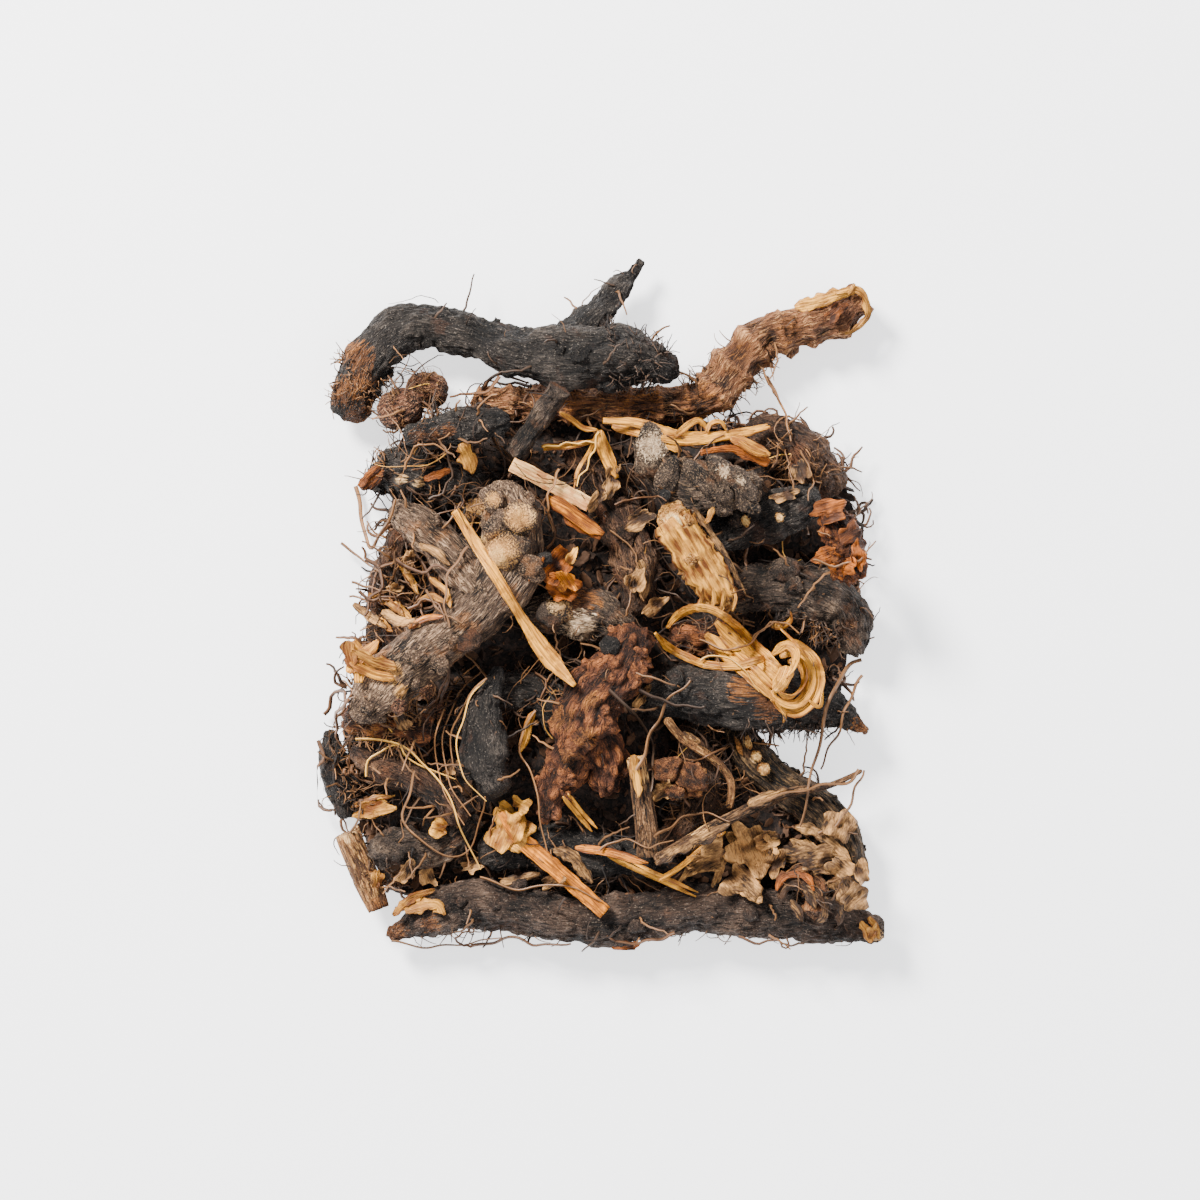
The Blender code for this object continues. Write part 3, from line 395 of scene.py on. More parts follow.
def add_strip(
    shell, rows, across=10, thick=0.32, roll=0.0, twist=(0.0, 0.0), ribs=5, ragged=0.0, seed=0, tone=0.5,
    wave=0.0, mottle=0.3, rib=0.09,
):
    """A dry leaf or bark strip along rows of x, y, z and width, cupped by roll and turned by twist; its tone has
    painted shade towards its edges and painted light and shade on its ribs.
    """
    draw = random.Random(seed)
    centres, widths = rows[:, :3], rows[:, 3]
    tangents, side, up = frames_along(centres)
    run = lengths_along(centres)
    share = run / run[-1]
    place = np.linspace(-1, 1, across)
    phase = draw.uniform(0, 9)
    corners, grain, tones = [], [], []

    def uneven(at, seed_row):
        broad, fine = (noise.noise(Vector((at * pace, phase, seed_row))) for pace in (0.6, 2.4))
        return ragged * (broad + 0.3 * fine)

    for k, centre in enumerate(centres):
        turn = twist[0] + (twist[1] - twist[0]) * share[k]
        s = math.cos(turn) * side[k] + math.sin(turn) * up[k]
        u = math.cos(turn) * up[k] - math.sin(turn) * side[k]
        half = widths[k] / 2 * (1 + np.where(place > 0, uneven(run[k], 0.5), uneven(run[k], 7.5)) * abs(place))
        if abs(roll) > 0.01:
            bend = roll / 2 * place
            aside = half / (roll / 2) * np.sin(bend)
            rise = half * abs(2 / roll) * (1 - np.cos(bend)) * (1 if roll > 0 else -1)
            lean = -bend
        else:
            aside, rise, lean = half * place, np.zeros(across), np.zeros(across)
        rise = rise + wave * math.sin(run[k] * 1.3 + phase) * place**2 + rib * np.cos(ribs * math.pi * place)
        middle = centre + aside[:, None] * s + rise[:, None] * u
        normal = np.sin(lean)[:, None] * s + np.cos(lean)[:, None] * u
        edge = thick / 2 * (1 - 0.6 * place**4)
        corners.append(np.vstack([middle + normal * edge[:, None], (middle - normal * edge[:, None])[::-1]]))
        lane = half * place
        sides = np.concatenate([lane, lane[::-1]])
        cloud = np.array([noise.noise(Vector((x * 0.6, run[k] * 0.3, phase))) for x in lane])
        # Painted light and shade in the tone: lighter on the rib crests and darker between them, and darker towards
        # both edges; the cloud is the strip's own mottle.
        shade = tone + mottle * 1.6 * cloud + 1.3 * rib * np.cos(ribs * math.pi * place) - mottle * place**4
        tones.append(np.concatenate([shade, shade[::-1]]))
        grain.append(np.column_stack([sides, np.full(2 * across, phase), np.full(2 * across, run[k])]))
    around = 2 * across
    count = len(corners)
    faces = [f[::-1] for f in tube_faces(count, around, poles=False)]
    foot = (count - 1) * around
    for i in range(across - 1):
        faces.append((i, i + 1, around - 2 - i, around - 1 - i)[::-1])
        faces.append(tuple(foot + j for j in (i, i + 1, around - 2 - i, around - 1 - i)))
    shell.add(np.vstack(corners), faces, np.vstack(grain), tone=np.concatenate(tones))


class Strands:
    """Thin roots and straws as bare lines with a radius and a tone at each point."""

    def __init__(self):
        self.points, self.radii, self.tones, self.edges = [], [], [], []
        self.count = 0

    def add(self, points, radii, tone):
        points = np.asarray(points, float)
        self.points.append(points)
        self.radii.append(np.broadcast_to(np.asarray(radii, float), len(points)))
        self.tones.append(np.full(len(points), tone))
        first = np.arange(self.count, self.count + len(points) - 1)
        self.edges.append(np.column_stack([first, first + 1]))
        self.count += len(points)

    def mesh(self, name):
        made = bpy.data.meshes.new(name)
        made.from_pydata(np.vstack(self.points) * MM, np.vstack(self.edges).tolist(), [])
        put(made, "thickness", np.concatenate(self.radii) * MM)
        put(made, "tone", np.concatenate(self.tones))
        return made


# Node trees --------------------------------------------------------------------------------------


def node(tree, kind, inputs=(), **settings):
    """A node with its settings, and its inputs given as values or as sockets to link."""
    made = tree.nodes.new(kind)
    for name, value in settings.items():
        setattr(made, name, value)
    for key, value in dict(inputs).items():
        if isinstance(value, bpy.types.NodeSocket):
            tree.links.new(value, made.inputs[key])
        else:
            made.inputs[key].default_value = value
    return made


def calc(tree, operation, *values, clamp=False):
    return node(tree, "ShaderNodeMath", enumerate(values), operation=operation, use_clamp=clamp).outputs[0]


def vector_calc(tree, operation, *values):
    return node(tree, "ShaderNodeVectorMath", enumerate(values), operation=operation).outputs[0]


def times(tree, first, second):
    return calc(tree, "MULTIPLY", first, second)


def weigh(tree, value, share, rest, clamp=False):
    """value by share, and the rest."""
    return calc(tree, "MULTIPLY_ADD", value, share, rest, clamp=clamp)


def per(tree, value, whole=1.0):
    return calc(tree, "DIVIDE", whole, value)


def centred(tree, value):
    """A value from 0 to 1 as one from -0.5 to 0.5."""
    return calc(tree, "SUBTRACT", value, 0.5)


def scaled(tree, vector, scale):
    return node(tree, "ShaderNodeVectorMath", {0: vector, "Scale": scale}, operation="SCALE").outputs[0]


def drawn_out(tree, where, stretch):
    """The place with its way along shortened, so that a pattern on it runs long."""
    squeeze = node(tree, "ShaderNodeCombineXYZ", {0: 1.0, 1: 1.0, 2: per(tree, stretch)}).outputs[0]
    return vector_calc(tree, "MULTIPLY", where, squeeze)


def cloud(tree, where, scale, detail, **more):
    """Noise from 0 to 1."""
    return node(tree, "ShaderNodeTexNoise", {"Vector": where, "Scale": scale, "Detail": detail, **more}).outputs[0]


def ramp(tree, value, low, high, bottom=0.0, top=1.0):
    """value from low to high, mapped smoothly to bottom to top."""
    settings = {"Value": value, "From Min": low, "From Max": high, "To Min": bottom, "To Max": top}
    return node(tree, "ShaderNodeMapRange", settings, interpolation_type="SMOOTHSTEP").outputs[0]


def blend(tree, share, first, second):
    """Two colours mixed by share; each is a socket or three numbers from 0 to 255."""
    first, second = (srgb(*one) if isinstance(one, tuple) else one for one in (first, second))
    return node(tree, "ShaderNodeMix", {0: share, 6: first, 7: second}, data_type="RGBA").outputs[2]


def group_tree(name, kind, inputs, outputs):
    """A node group. Each input is given by its usual value or its kind, and each output by its kind."""
    tree = bpy.data.node_groups.new(name, kind)
    for label, value in inputs.items():
        socket = value if isinstance(value, str) else type(value).__name__.capitalize()
        made = tree.interface.new_socket(label, in_out="INPUT", socket_type="NodeSocket" + socket)
        if not isinstance(value, str):
            made.default_value = value
    for label, socket in outputs.items():
        tree.interface.new_socket(label, in_out="OUTPUT", socket_type="NodeSocket" + socket)
    return tree, tree.nodes.new("NodeGroupInput").outputs, tree.nodes.new("NodeGroupOutput").inputs


def geometry_tree(name, inputs):
    inputs = {"Geometry": "Geometry", **inputs, "Material": "Material"}
    return group_tree(name, "GeometryNodeTree", inputs, {"Geometry": "Geometry"})


def end_tree(tree, geometry, material, out):
    """Ends a geometry tree in a real mesh with its material."""
    whole = node(tree, "GeometryNodeRealizeInstances", {"Geometry": geometry}).outputs[0]
    done = node(tree, "GeometryNodeSetMaterial", {"Geometry": whole, "Material": material}).outputs[0]
    tree.links.new(done, out[0])
    return tree


def noted(tree, geometry, name, value, domain="POINT"):
    """The geometry with a value stored on it."""
    inputs = {"Geometry": geometry, "Name": name, "Value": value}
    return node(tree, "GeometryNodeStoreNamedAttribute", inputs, data_type="FLOAT", domain=domain).outputs[0]


def read(tree, name, kind):
    return node(tree, "GeometryNodeInputNamedAttribute", {"Name": name}, data_type=kind).outputs[0]


def run_tree(made, tree, values):
    """Runs a geometry tree on the object with values by input name, and keeps the result as its mesh."""
    modifier = made.modifiers.new("work", "NODES")
    modifier.node_group = tree
    for item in tree.interface.items_tree:
        if item.in_out == "INPUT" and item.name in values:
            modifier[item.identifier] = values[item.name]
    graph = bpy.context.evaluated_depsgraph_get()
    result = bpy.data.meshes.new_from_object(made.evaluated_get(graph), depsgraph=graph)
    made.modifiers.clear()
    made.data = result
    return made


def relief_tree():
    """Raises lumps, furrows, scales and rings on a rhizome's skin, and notes how high each corner went."""
    tree, given, out = geometry_tree("bark_relief", {
        "Lump Height": 0.5, "Lump Size": 5.0, "Furrow Depth": 0.4, "Furrow Width": 1.6, "Furrow Stretch": 7.0,
        "Scale Height": 0.0, "Scale Size": 2.0, "Ring Height": 0.0, "Ring Gap": 4.0, "Seed": 0.0,
    })
    grain = read(tree, "grain", "FLOAT_VECTOR")
    shift = node(tree, "ShaderNodeCombineXYZ", {2: times(tree, given["Seed"], 37.0)}).outputs[0]
    moved = vector_calc(tree, "ADD", grain, shift)
    uneven = centred(tree, cloud(tree, moved, per(tree, given["Lump Size"]), 3.0))
    long_way = drawn_out(tree, moved, given["Furrow Stretch"])
    furrow = cloud(tree, long_way, per(tree, given["Furrow Width"]), 2.5, Roughness=0.55, Distortion=0.4)
    furrows = ramp(tree, calc(tree, "ABSOLUTE", centred(tree, furrow)), 0.0, 0.13, -1.0, 0.25)
    flat_way = vector_calc(tree, "MULTIPLY", moved, (1.0, 1.0, 0.55))
    cells = node(tree, "ShaderNodeTexVoronoi", {"Vector": flat_way, "Scale": per(tree, given["Scale Size"])})
    scales = ramp(tree, cells.outputs["Distance"], 0.15, 0.75, 1.0, -0.8)
    at = node(tree, "ShaderNodeSeparateXYZ", {0: grain}).outputs[2]
    turns = calc(tree, "FRACT", per(tree, given["Ring Gap"], calc(tree, "ADD", at, times(tree, uneven, 3.0))))
    rings = calc(tree, "SUBTRACT", calc(tree, "POWER", turns, 2.2), 0.35)
    height, most = 0.0, 0.05
    for value, name in (
        (times(tree, uneven, 2.4), "Lump Height"), (furrows, "Furrow Depth"), (scales, "Scale Height"),
        (rings, "Ring Height"),
    ):
        height = calc(tree, "ADD", times(tree, value, given[name]), height)
        most = calc(tree, "ADD", calc(tree, "ABSOLUTE", given[name]), most)
    push = scaled(tree, node(tree, "GeometryNodeInputNormal").outputs[0], times(tree, height, MM))
    raised = node(tree, "GeometryNodeSetPosition", {"Geometry": given["Geometry"], "Offset": push}).outputs[0]
    skin_noted = noted(tree, raised, "relief", weigh(tree, per(tree, most, height), 0.5, 0.5))
    smooth = node(tree, "GeometryNodeSetShadeSmooth", {"Geometry": skin_noted}).outputs[0]
    return end_tree(tree, smooth, given["Material"], out)


def strand_tree():
    """Gives each bare line its round section."""
    tree, given, out = geometry_tree("strands", {"Sides": 3})
    lines = node(tree, "GeometryNodeMeshToCurve", {"Mesh": given["Geometry"]}).outputs[0]
    section = node(tree, "GeometryNodeCurvePrimitiveCircle", {"Resolution": given["Sides"], "Radius": 1.0}).outputs[0]
    rods = node(
        tree, "GeometryNodeCurveToMesh",
        {"Curve": lines, "Profile Curve": section, "Scale": read(tree, "thickness", "FLOAT"), "Fill Caps": True},
    ).outputs[0]
    smooth = node(tree, "GeometryNodeSetShadeSmooth", {"Geometry": rods}).outputs[0]
    return end_tree(tree, smooth, given["Material"], out)


def crumb_tree():
    """Scatters soil crumbs and bark flakes over the surface that it is given."""
    tree, given, out = geometry_tree("crumbs", {
        "Apart": 0.8, "Density": 0.3, "Least Size": 0.3, "Largest Size": 0.9, "Flatness": 0.6, "Seed": 1,
    })

    def chance(kind, result, **inputs):
        inputs = {int(key[1:]) if key[0] == "_" else key: value for key, value in inputs.items()}
        return node(tree, "FunctionNodeRandomValue", inputs, data_type=kind).outputs[result]

    apart, density = times(tree, given["Apart"], MM), times(tree, given["Density"], MM**-2)
    spots = node(
        tree, "GeometryNodeDistributePointsOnFaces",
        {"Mesh": given["Geometry"], "Distance Min": apart, "Density Max": density, "Seed": given["Seed"]},
        distribute_method="POISSON",
    ).outputs[0]
    size = chance("FLOAT", 1, _2=given["Least Size"], _3=given["Largest Size"], Seed=given["Seed"])
    shape = node(tree, "GeometryNodeMeshIcoSphere", {"Radius": MM, "Subdivisions": 1}).outputs[0]
    sides = {0: times(tree, size, 1.6), 1: size, 2: times(tree, size, given["Flatness"])}
    scale = node(tree, "ShaderNodeCombineXYZ", sides).outputs[0]
    spin = chance("FLOAT_VECTOR", 0, _1=(6.28, 6.28, 6.28), Seed=given["Seed"])
    placed = node(
        tree, "GeometryNodeInstanceOnPoints", {"Points": spots, "Instance": shape, "Rotation": spin, "Scale": scale}
    ).outputs[0]
    toned = noted(tree, placed, "tone", chance("FLOAT", 1, _2=0.0, _3=1.0, Seed=5), "INSTANCE")
    return end_tree(tree, toned, given["Material"], out)


# Laying the pieces on each other ------------------------------------------------------------------


def smooth_route(points, step, closed=False):
    """Points every step along a smooth curve through the route's own points."""
    p = np.array(points, float)
    ends = np.vstack([p[-1], p, p[:2]]) if closed else beyond(p)
    fine = curve_through(np.vstack([p, p[:1]]) if closed else p, ends, 16)
    return densely(fine, step, lengths_along(fine[:, :2]))


class Pile:
    """A height map of what already lies there, from which the next root's height is worked out."""

    def __init__(self):
        self.axis_x = np.arange(-64, 64, GROWTH_CELL)
        self.axis_y = np.arange(-76, 78, GROWTH_CELL)
        self.x, self.y = np.meshgrid(self.axis_x, self.axis_y, indexing="ij")
        self.top = np.zeros_like(self.x)
        self.under = np.full_like(self.x, 99.0)

    def disc(self, x, y, radius):
        """The cells within radius of a point, as slices, and their squared distance from it."""
        i = slice(*np.searchsorted(self.axis_x, (x - radius, x + radius)))
        j = slice(*np.searchsorted(self.axis_y, (y - radius, y + radius)))
        return i, j, (self.x[i, j] - x) ** 2 + (self.y[i, j] - y) ** 2

    def below(self, x, y, radius, domed):
        """The cells below a ball or a flat disc, and how far its surface lies from its middle over each."""
        i, j, d2 = self.disc(x, y, radius)
        inside = d2 < radius**2
        return (i, j), inside, np.sqrt(radius**2 - d2[inside]) if domed else 0.0

    def rests(self, x, y, radius, domed=False):
        """The height at which its middle rests on the pile."""
        cells, inside, rise = self.below(x, y, radius, domed)
        return (self.top[cells][inside] + rise).max()

    def add_disc(self, x, y, z, radius, domed=False):
        cells, inside, rise = self.below(x, y, radius, domed)
        self.top[cells][inside] = np.maximum(self.top[cells][inside], z + rise)
        if domed:
            self.under[cells][inside] = np.minimum(self.under[cells][inside], z - rise)

    def add_ball(self, x, y, z, radius):
        self.add_disc(x, y, z, radius, domed=True)


def drape(need, stiffness, ends=True):
    """The heights of springy lines that lie on need and bridge its dips."""
    z = need.copy()
    for _ in range(stiffness):
        eased = z.copy()
        eased[..., 1:-1] = (z[..., :-2] + 2 * z[..., 1:-1] + z[..., 2:]) / 4
        if ends:
            eased[..., 0], eased[..., -1] = z[..., :2].mean(axis=-1), z[..., -2:].mean(axis=-1)
        z = np.maximum(need, eased)
    return z


def lay_root(route, pile, step, stiffness=30, joined=None):
    """The root's centreline, as rows of x, y, z and radius, where it lies on the pile."""
    line = smooth_route(route, step)
    need = np.array([pile.rests(x, y, r * LAY_SWELL + LAY_GAP, domed=True) for x, y, r in line])
    if joined is not None:
        gaps = [np.hypot(*(joined[:, :2] - line[end, :2]).T) for end in (0, -1)]
        end = 0 if gaps[0].min() <= gaps[-1].min() else -1
        need[end] = max(need[end], joined[np.argmin(gaps[end]), 2])
    z = drape(need, stiffness)
    return np.column_stack([line[:, :2], z, line[:, 2]])


def cover(pile, line):
    for x, y, z, r in densely(line):
        pile.add_ball(x, y, z, r * LAY_SWELL)


def frames_along(points):
    """Unit tangent, side and up vectors at each point, turning as little as they can."""
    tangents = np.gradient(points, axis=0)
    tangents /= np.linalg.norm(tangents, axis=1)[:, None]
    up = np.array([0, 0, 1.0])
    ups, sides = [], []
    for t in tangents:
        side = np.cross(t, up)
        side /= np.linalg.norm(side)
        up = np.cross(side, t)
        sides.append(side)
        ups.append(up)
    return tangents, np.array(sides), np.array(ups)


def outward(angle, side, up):
    """The way out of a root at an angle round it."""
    return math.cos(angle) * side + math.sin(angle) * up


def bark_swell(root, seed):
    """How a rhizome's bark bulges: slow lobes round it and along it, and rings where it has them."""
    draw = random.Random(seed)
    turns = [draw.uniform(0, 2 * math.pi) for _ in range(4)]

    def swell(run, angles):
        lobes = 0.055 * np.sin(2 * angles + 0.21 * run + turns[0])
        lobes += 0.035 * np.sin(3 * angles - 0.33 * run + turns[1])
        along = 0.035 * math.sin(0.55 * run + turns[2])
        if root.ring_gap:
            along += 0.07 * math.cos(2 * math.pi * run / root.ring_gap)
        return 1 - 0.02 + lobes + along

    return swell


def ribbon(blade, pile):
    """A dry blade as a thin cupped strip that lies on the pile: (corners, faces)."""
    line = smooth_route(blade.route, 2.2)
    half = blade.thick / 2
    need = np.array([pile.rests(x, y, w / 2 + CLEAR) + LAY_GAP + half + blade.cup for x, y, w in line])
    z = drape(need, 60)
    centres = np.column_stack([line[:, :2], z])
    _, side, up = frames_along(centres)
    across = np.array([-0.5, 0.0, 0.5])
    corners = []
    for k, centre in enumerate(centres):
        drop = -blade.cup * (2 * across) ** 2
        rim = half * np.array([0.75, 1.0, 0.75])
        middle = centre + across[:, None] * line[k, 2] * side[k] + drop[:, None] * up[k]
        corners.append(np.vstack([middle + rim[:, None] * up[k], (middle - rim[:, None] * up[k])[::-1]]))
    for x, y, height, width in densely(np.column_stack([centres, line[:, 2]])):
        pile.add_disc(x, y, height + half, width / 2 + 0.3)
    foot = 6 * len(corners) - 6
    ends = [tuple(start + i for i in ring) for start in (0, foot) for ring in ((0, 1, 4, 5), (1, 2, 3, 4))]
    return (np.vstack(corners), tube_faces(len(corners), 6, poles=False) + ends), np.column_stack([centres, line[:, 2]])


def spread(loop, count):
    """The closed loop as evenly spaced points."""
    run = lengths_along(loop)
    return resampled(loop, run, np.linspace(0, run[-1], count, endpoint=False))


def mat_height(pile, x, y, edge):
    """The mat's top: lumpy, lower at its edge, and pressed down where a root lies on it."""
    lumps = MAT_TOP * (0.62 + 0.38 * noise.noise(Vector((x * 0.13, y * 0.13, 3.1))))
    swollen = MAT_FLOOR + (lumps - MAT_FLOOR) * (1 - edge**4)
    i, j, d2 = pile.disc(x, y, 4.8)
    pressed = pile.under[i, j].min() - 0.35
    return max(MAT_FLOOR * 0.55, min(swollen, pressed))


def mat_shell(pile, rim, shares):
    """The mat from its outline and the shares of the way out at which its rings lie."""
    centre = np.array(MAT_CENTRE)
    corners = [(x, y, mat_height(pile, x, y, share)) for share in shares for x, y in centre + (rim - centre) * share]
    corners += [(x, y, 0.0) for x, y in centre + (rim - centre) * 0.985]
    corners += [(*centre, mat_height(pile, *centre, 0)), (*centre, 0.0)]
    return np.array(corners), [face[::-1] for face in tube_faces(len(shares) + 1, len(rim))]


def near_something(trees, point, gap):
    return any(tree.find_nearest(Vector(point), gap)[0] is not None for tree in trees)


def grow_rootlet(line, draw, others, taken):
    """The centreline of a rootlet that leaves the rhizome, bends down and stays clear, or None."""
    k = draw.randrange(len(line))
    centre, radius = line[k, :3], line[k, 3]
    if radius < LEAST_BEARER:
        return None
    _, side, up = frames_along(line[:, :3])
    angle = draw.uniform(-0.25, math.pi + 0.25)
    out = outward(angle, side[k], up[k])
    heading = out + 0.35 * np.array([draw.uniform(-1, 1), draw.uniform(-1, 1), 0])
    heading /= np.linalg.norm(heading)
    length = draw.uniform(5, 13)
    turn = np.array([draw.uniform(-1, 1), draw.uniform(-1, 1), draw.uniform(-1.0, 0.2)]) * 0.42
    steps = 4
    points = [centre + out * radius * 0.45]
    point = centre + out * radius * 0.9
    for step in range(steps):
        points.append(point.copy())
        heading = heading + turn
        heading /= np.linalg.norm(heading)
        point = point + heading * length / steps
    points = np.array(points)
    width, length, height = GROWTH_LIMIT
    if points[:, 2].min() < 0.8 or points[1:, 2].max() > height:
        return None
    if abs(points[:, 0]).max() > width or abs(points[:, 1]).max() > length:
        return None
    fine = densely(points, 0.6)
    if any(near_something(others, p, ROOTLET_THICK / 2 + CLEAR) for p in fine):
        return None
    if len(taken) and np.linalg.norm(fine[4:, None] - taken[None], axis=2).min() < 1.6:
        return None
    widths = np.linspace(ROOTLET_THICK / 2, ROOTLET_THICK / 4, len(points))
    return np.column_stack([points, widths])


def bvh(shell):
    corners, faces = shell
    return BVHTree.FromPolygons([Vector(c) for c in corners], faces)


# Finishes ----------------------------------------------------------------------------------------


def grain_lines_group():
    """Fine fibres that run along a piece, and the dark cracks between them."""
    tree, given, out = group_tree(
        "grain_lines", "ShaderNodeTree", {"Grain": "Vector", "Width": 0.5, "Stretch": 9.0},
        {"Fibre": "Float", "Crack": "Float"},
    )
    long_way = drawn_out(tree, given["Grain"], given["Stretch"])
    fine = cloud(tree, long_way, per(tree, given["Width"]), 3.0, Roughness=0.65)
    broad = cloud(tree, long_way, per(tree, given["Width"], 0.45), 2.0, Distortion=0.5)
    tree.links.new(ramp(tree, fine, 0.36, 0.66), out["Fibre"])
    gap = calc(tree, "ABSOLUTE", centred(tree, broad))
    tree.links.new(ramp(tree, gap, 0.0, 0.035, 1.0, 0.0), out["Crack"])
    return tree


def weather_group():
    """Broad patches of another colour and small pale specks of dry soil, placed by position."""
    tree, given, out = group_tree(
        "weather", "ShaderNodeTree",
        {"Place": "Vector", "Patch Size": 6.0, "Cover": 0.3, "Speck Size": 0.5, "Dust": 0.3},
        {"Patch": "Float", "Speck": "Float"},
    )
    millimetres = scaled(tree, given["Place"], 1 / MM)
    for name, size, detail, rough, amount, bare, reach, soft in (
        ("Patch", "Patch Size", 4.0, 0.6, "Cover", 0.78, 0.5, 0.12),
        ("Speck", "Speck Size", 2.0, 0.7, "Dust", 0.72, 0.24, 0.1),
    ):
        mottle = cloud(tree, millimetres, per(tree, given[size]), detail, Roughness=rough)
        edge = calc(tree, "SUBTRACT", bare, times(tree, given[amount], reach))
        tree.links.new(ramp(tree, mottle, edge, calc(tree, "ADD", edge, soft)), out[name])
    return tree


def new_material(name):
    made = bpy.data.materials.new(name)
    made.use_nodes = True
    tree = made.node_tree
    return made, tree, tree.nodes["Principled BSDF"]


def attribute(tree, name, output="Fac"):
    return node(tree, "ShaderNodeAttribute", attribute_name=name).outputs[output]


def place(tree):
    return node(tree, "ShaderNodeTexCoord").outputs["Object"]


def bump(tree, shader, height, distance, strength=0.8):
    made = node(tree, "ShaderNodeBump", {"Height": height, "Distance": distance * MM, "Strength": strength})
    tree.links.new(made.outputs[0], shader.inputs["Normal"])


def surface(tree, shader, colour, roughness, specular=None):
    tree.links.new(colour, shader.inputs["Base Color"])
    tree.links.new(roughness, shader.inputs["Roughness"])
    if specular is not None:
        shader.inputs["Specular IOR Level"].default_value = specular


def effects(tree, groups, stretch, patch_size, cover, speck_size, dust):
    """The shared effects as one material uses them: fibre, crack, patch and speck."""
    lines = node(
        tree, "ShaderNodeGroup",
        {"Grain": attribute(tree, "grain", "Vector"), "Width": FIBRE_WIDTH, "Stretch": stretch},
        node_tree=groups["grain_lines"],
    ).outputs
    weather = node(
        tree, "ShaderNodeGroup",
        {"Place": place(tree), "Patch Size": patch_size, "Cover": cover, "Speck Size": speck_size, "Dust": dust},
        node_tree=groups["weather"],
    ).outputs
    return lines["Fibre"], lines["Crack"], weather["Patch"], weather["Speck"]


@dataclass
class Bark:
    """The colours of one kind of rhizome bark, from its furrows to its ridges, and its patches and dust; the dark
    furrow colour is painted shade and the ridge colour is partly painted highlight.
    """

    deep: tuple
    body: tuple
    ridge: tuple
    patch: tuple
    cover: float
    dust_colour: tuple = (158, 146, 130)
    dust: float = 0.25
    pale: tuple = ((122, 84, 52), (206, 158, 102), (250, 212, 154))
    fibre: float = 0.7
    rough: float = 0.7


# The deep, body and high colours of each bark, and of these, are laid by relief: the deep one is painted shade in the
# hollows and the high one partly painted highlight.
RUST = ((30, 16, 9), (102, 62, 34), (190, 120, 56))  # the red-brown of broken and fibrous places, deep to high
BARK_LOOKS = {
    "black": Bark((13, 11, 10), (39, 34, 30), (98, 86, 76), (70, 48, 36), 0.42, (160, 146, 132), 0.5, fibre=0.4),
    "umber": Bark((13, 8, 5), (70, 47, 33), (146, 106, 74), (108, 66, 40), 0.5, (150, 128, 104), 0.35, fibre=0.4),
    "russet": Bark((24, 12, 7), (92, 53, 33), (184, 110, 58), (64, 34, 22), 0.45, dust=0.1, fibre=0.4),
    "ringed_brown": Bark((34, 18, 10), (138, 88, 54), (226, 164, 106), (92, 54, 34), 0.45, dust=0.2, fibre=0.9),
    "spotted": Bark((14, 10, 6), (70, 52, 34), (150, 116, 76), (96, 66, 42), 0.4, dust=0.2, fibre=0.9),
    "ash": Bark((11, 8, 6), (64, 51, 42), (146, 120, 96), (102, 66, 42), 0.45, (160, 142, 120), 0.4, fibre=0.4),
    "grey": Bark((20, 14, 10), (98, 76, 60), (206, 166, 128), (150, 100, 60), 0.45, (190, 164, 138), 0.2,
                 ((112, 72, 38), (206, 144, 78), (250, 198, 122)), fibre=1.1),
    "wool": Bark((15, 11, 8), (74, 59, 48), (176, 144, 112), (124, 82, 50), 0.45, (180, 160, 138), 0.3,
                 ((104, 80, 58), (196, 162, 124), (248, 224, 190)), fibre=1.0),
    "coir": Bark((28, 14, 9), (112, 70, 48), (204, 146, 104), (84, 48, 32), 0.4, dust=0.15, fibre=1.3),
    "loam": Bark((15, 11, 8), (62, 47, 38), (122, 97, 79), (90, 62, 45), 0.45, (172, 152, 132), 0.5, fibre=0.3),
    "driftwood": Bark((30, 20, 13), (108, 75, 48), (182, 134, 88), (76, 50, 34), 0.5, (150, 130, 106), 0.3,
                      ((160, 104, 56), (236, 172, 98), (255, 214, 142)), fibre=1.1),
    "clay": Bark((32, 17, 10), (124, 74, 42), (206, 138, 76), (82, 50, 31), 0.45, (176, 136, 92), 0.2, fibre=0.3),
    "wood": Bark((78, 49, 28), (160, 108, 64), (242, 180, 108), (98, 64, 38), 0.45, dust=0.15, fibre=1.1),
    "tan": Bark((112, 64, 26), (218, 150, 74), (255, 210, 134), (146, 88, 38), 0.55, (250, 220, 164), 0.2,
                ((176, 114, 56), (240, 188, 112), (255, 226, 164)), fibre=0.6, rough=0.45),
    "amber": Bark((30, 15, 9), (112, 58, 27), (208, 124, 46), (66, 36, 22), 0.55, dust=0.1, rough=0.6, fibre=0.4),
}


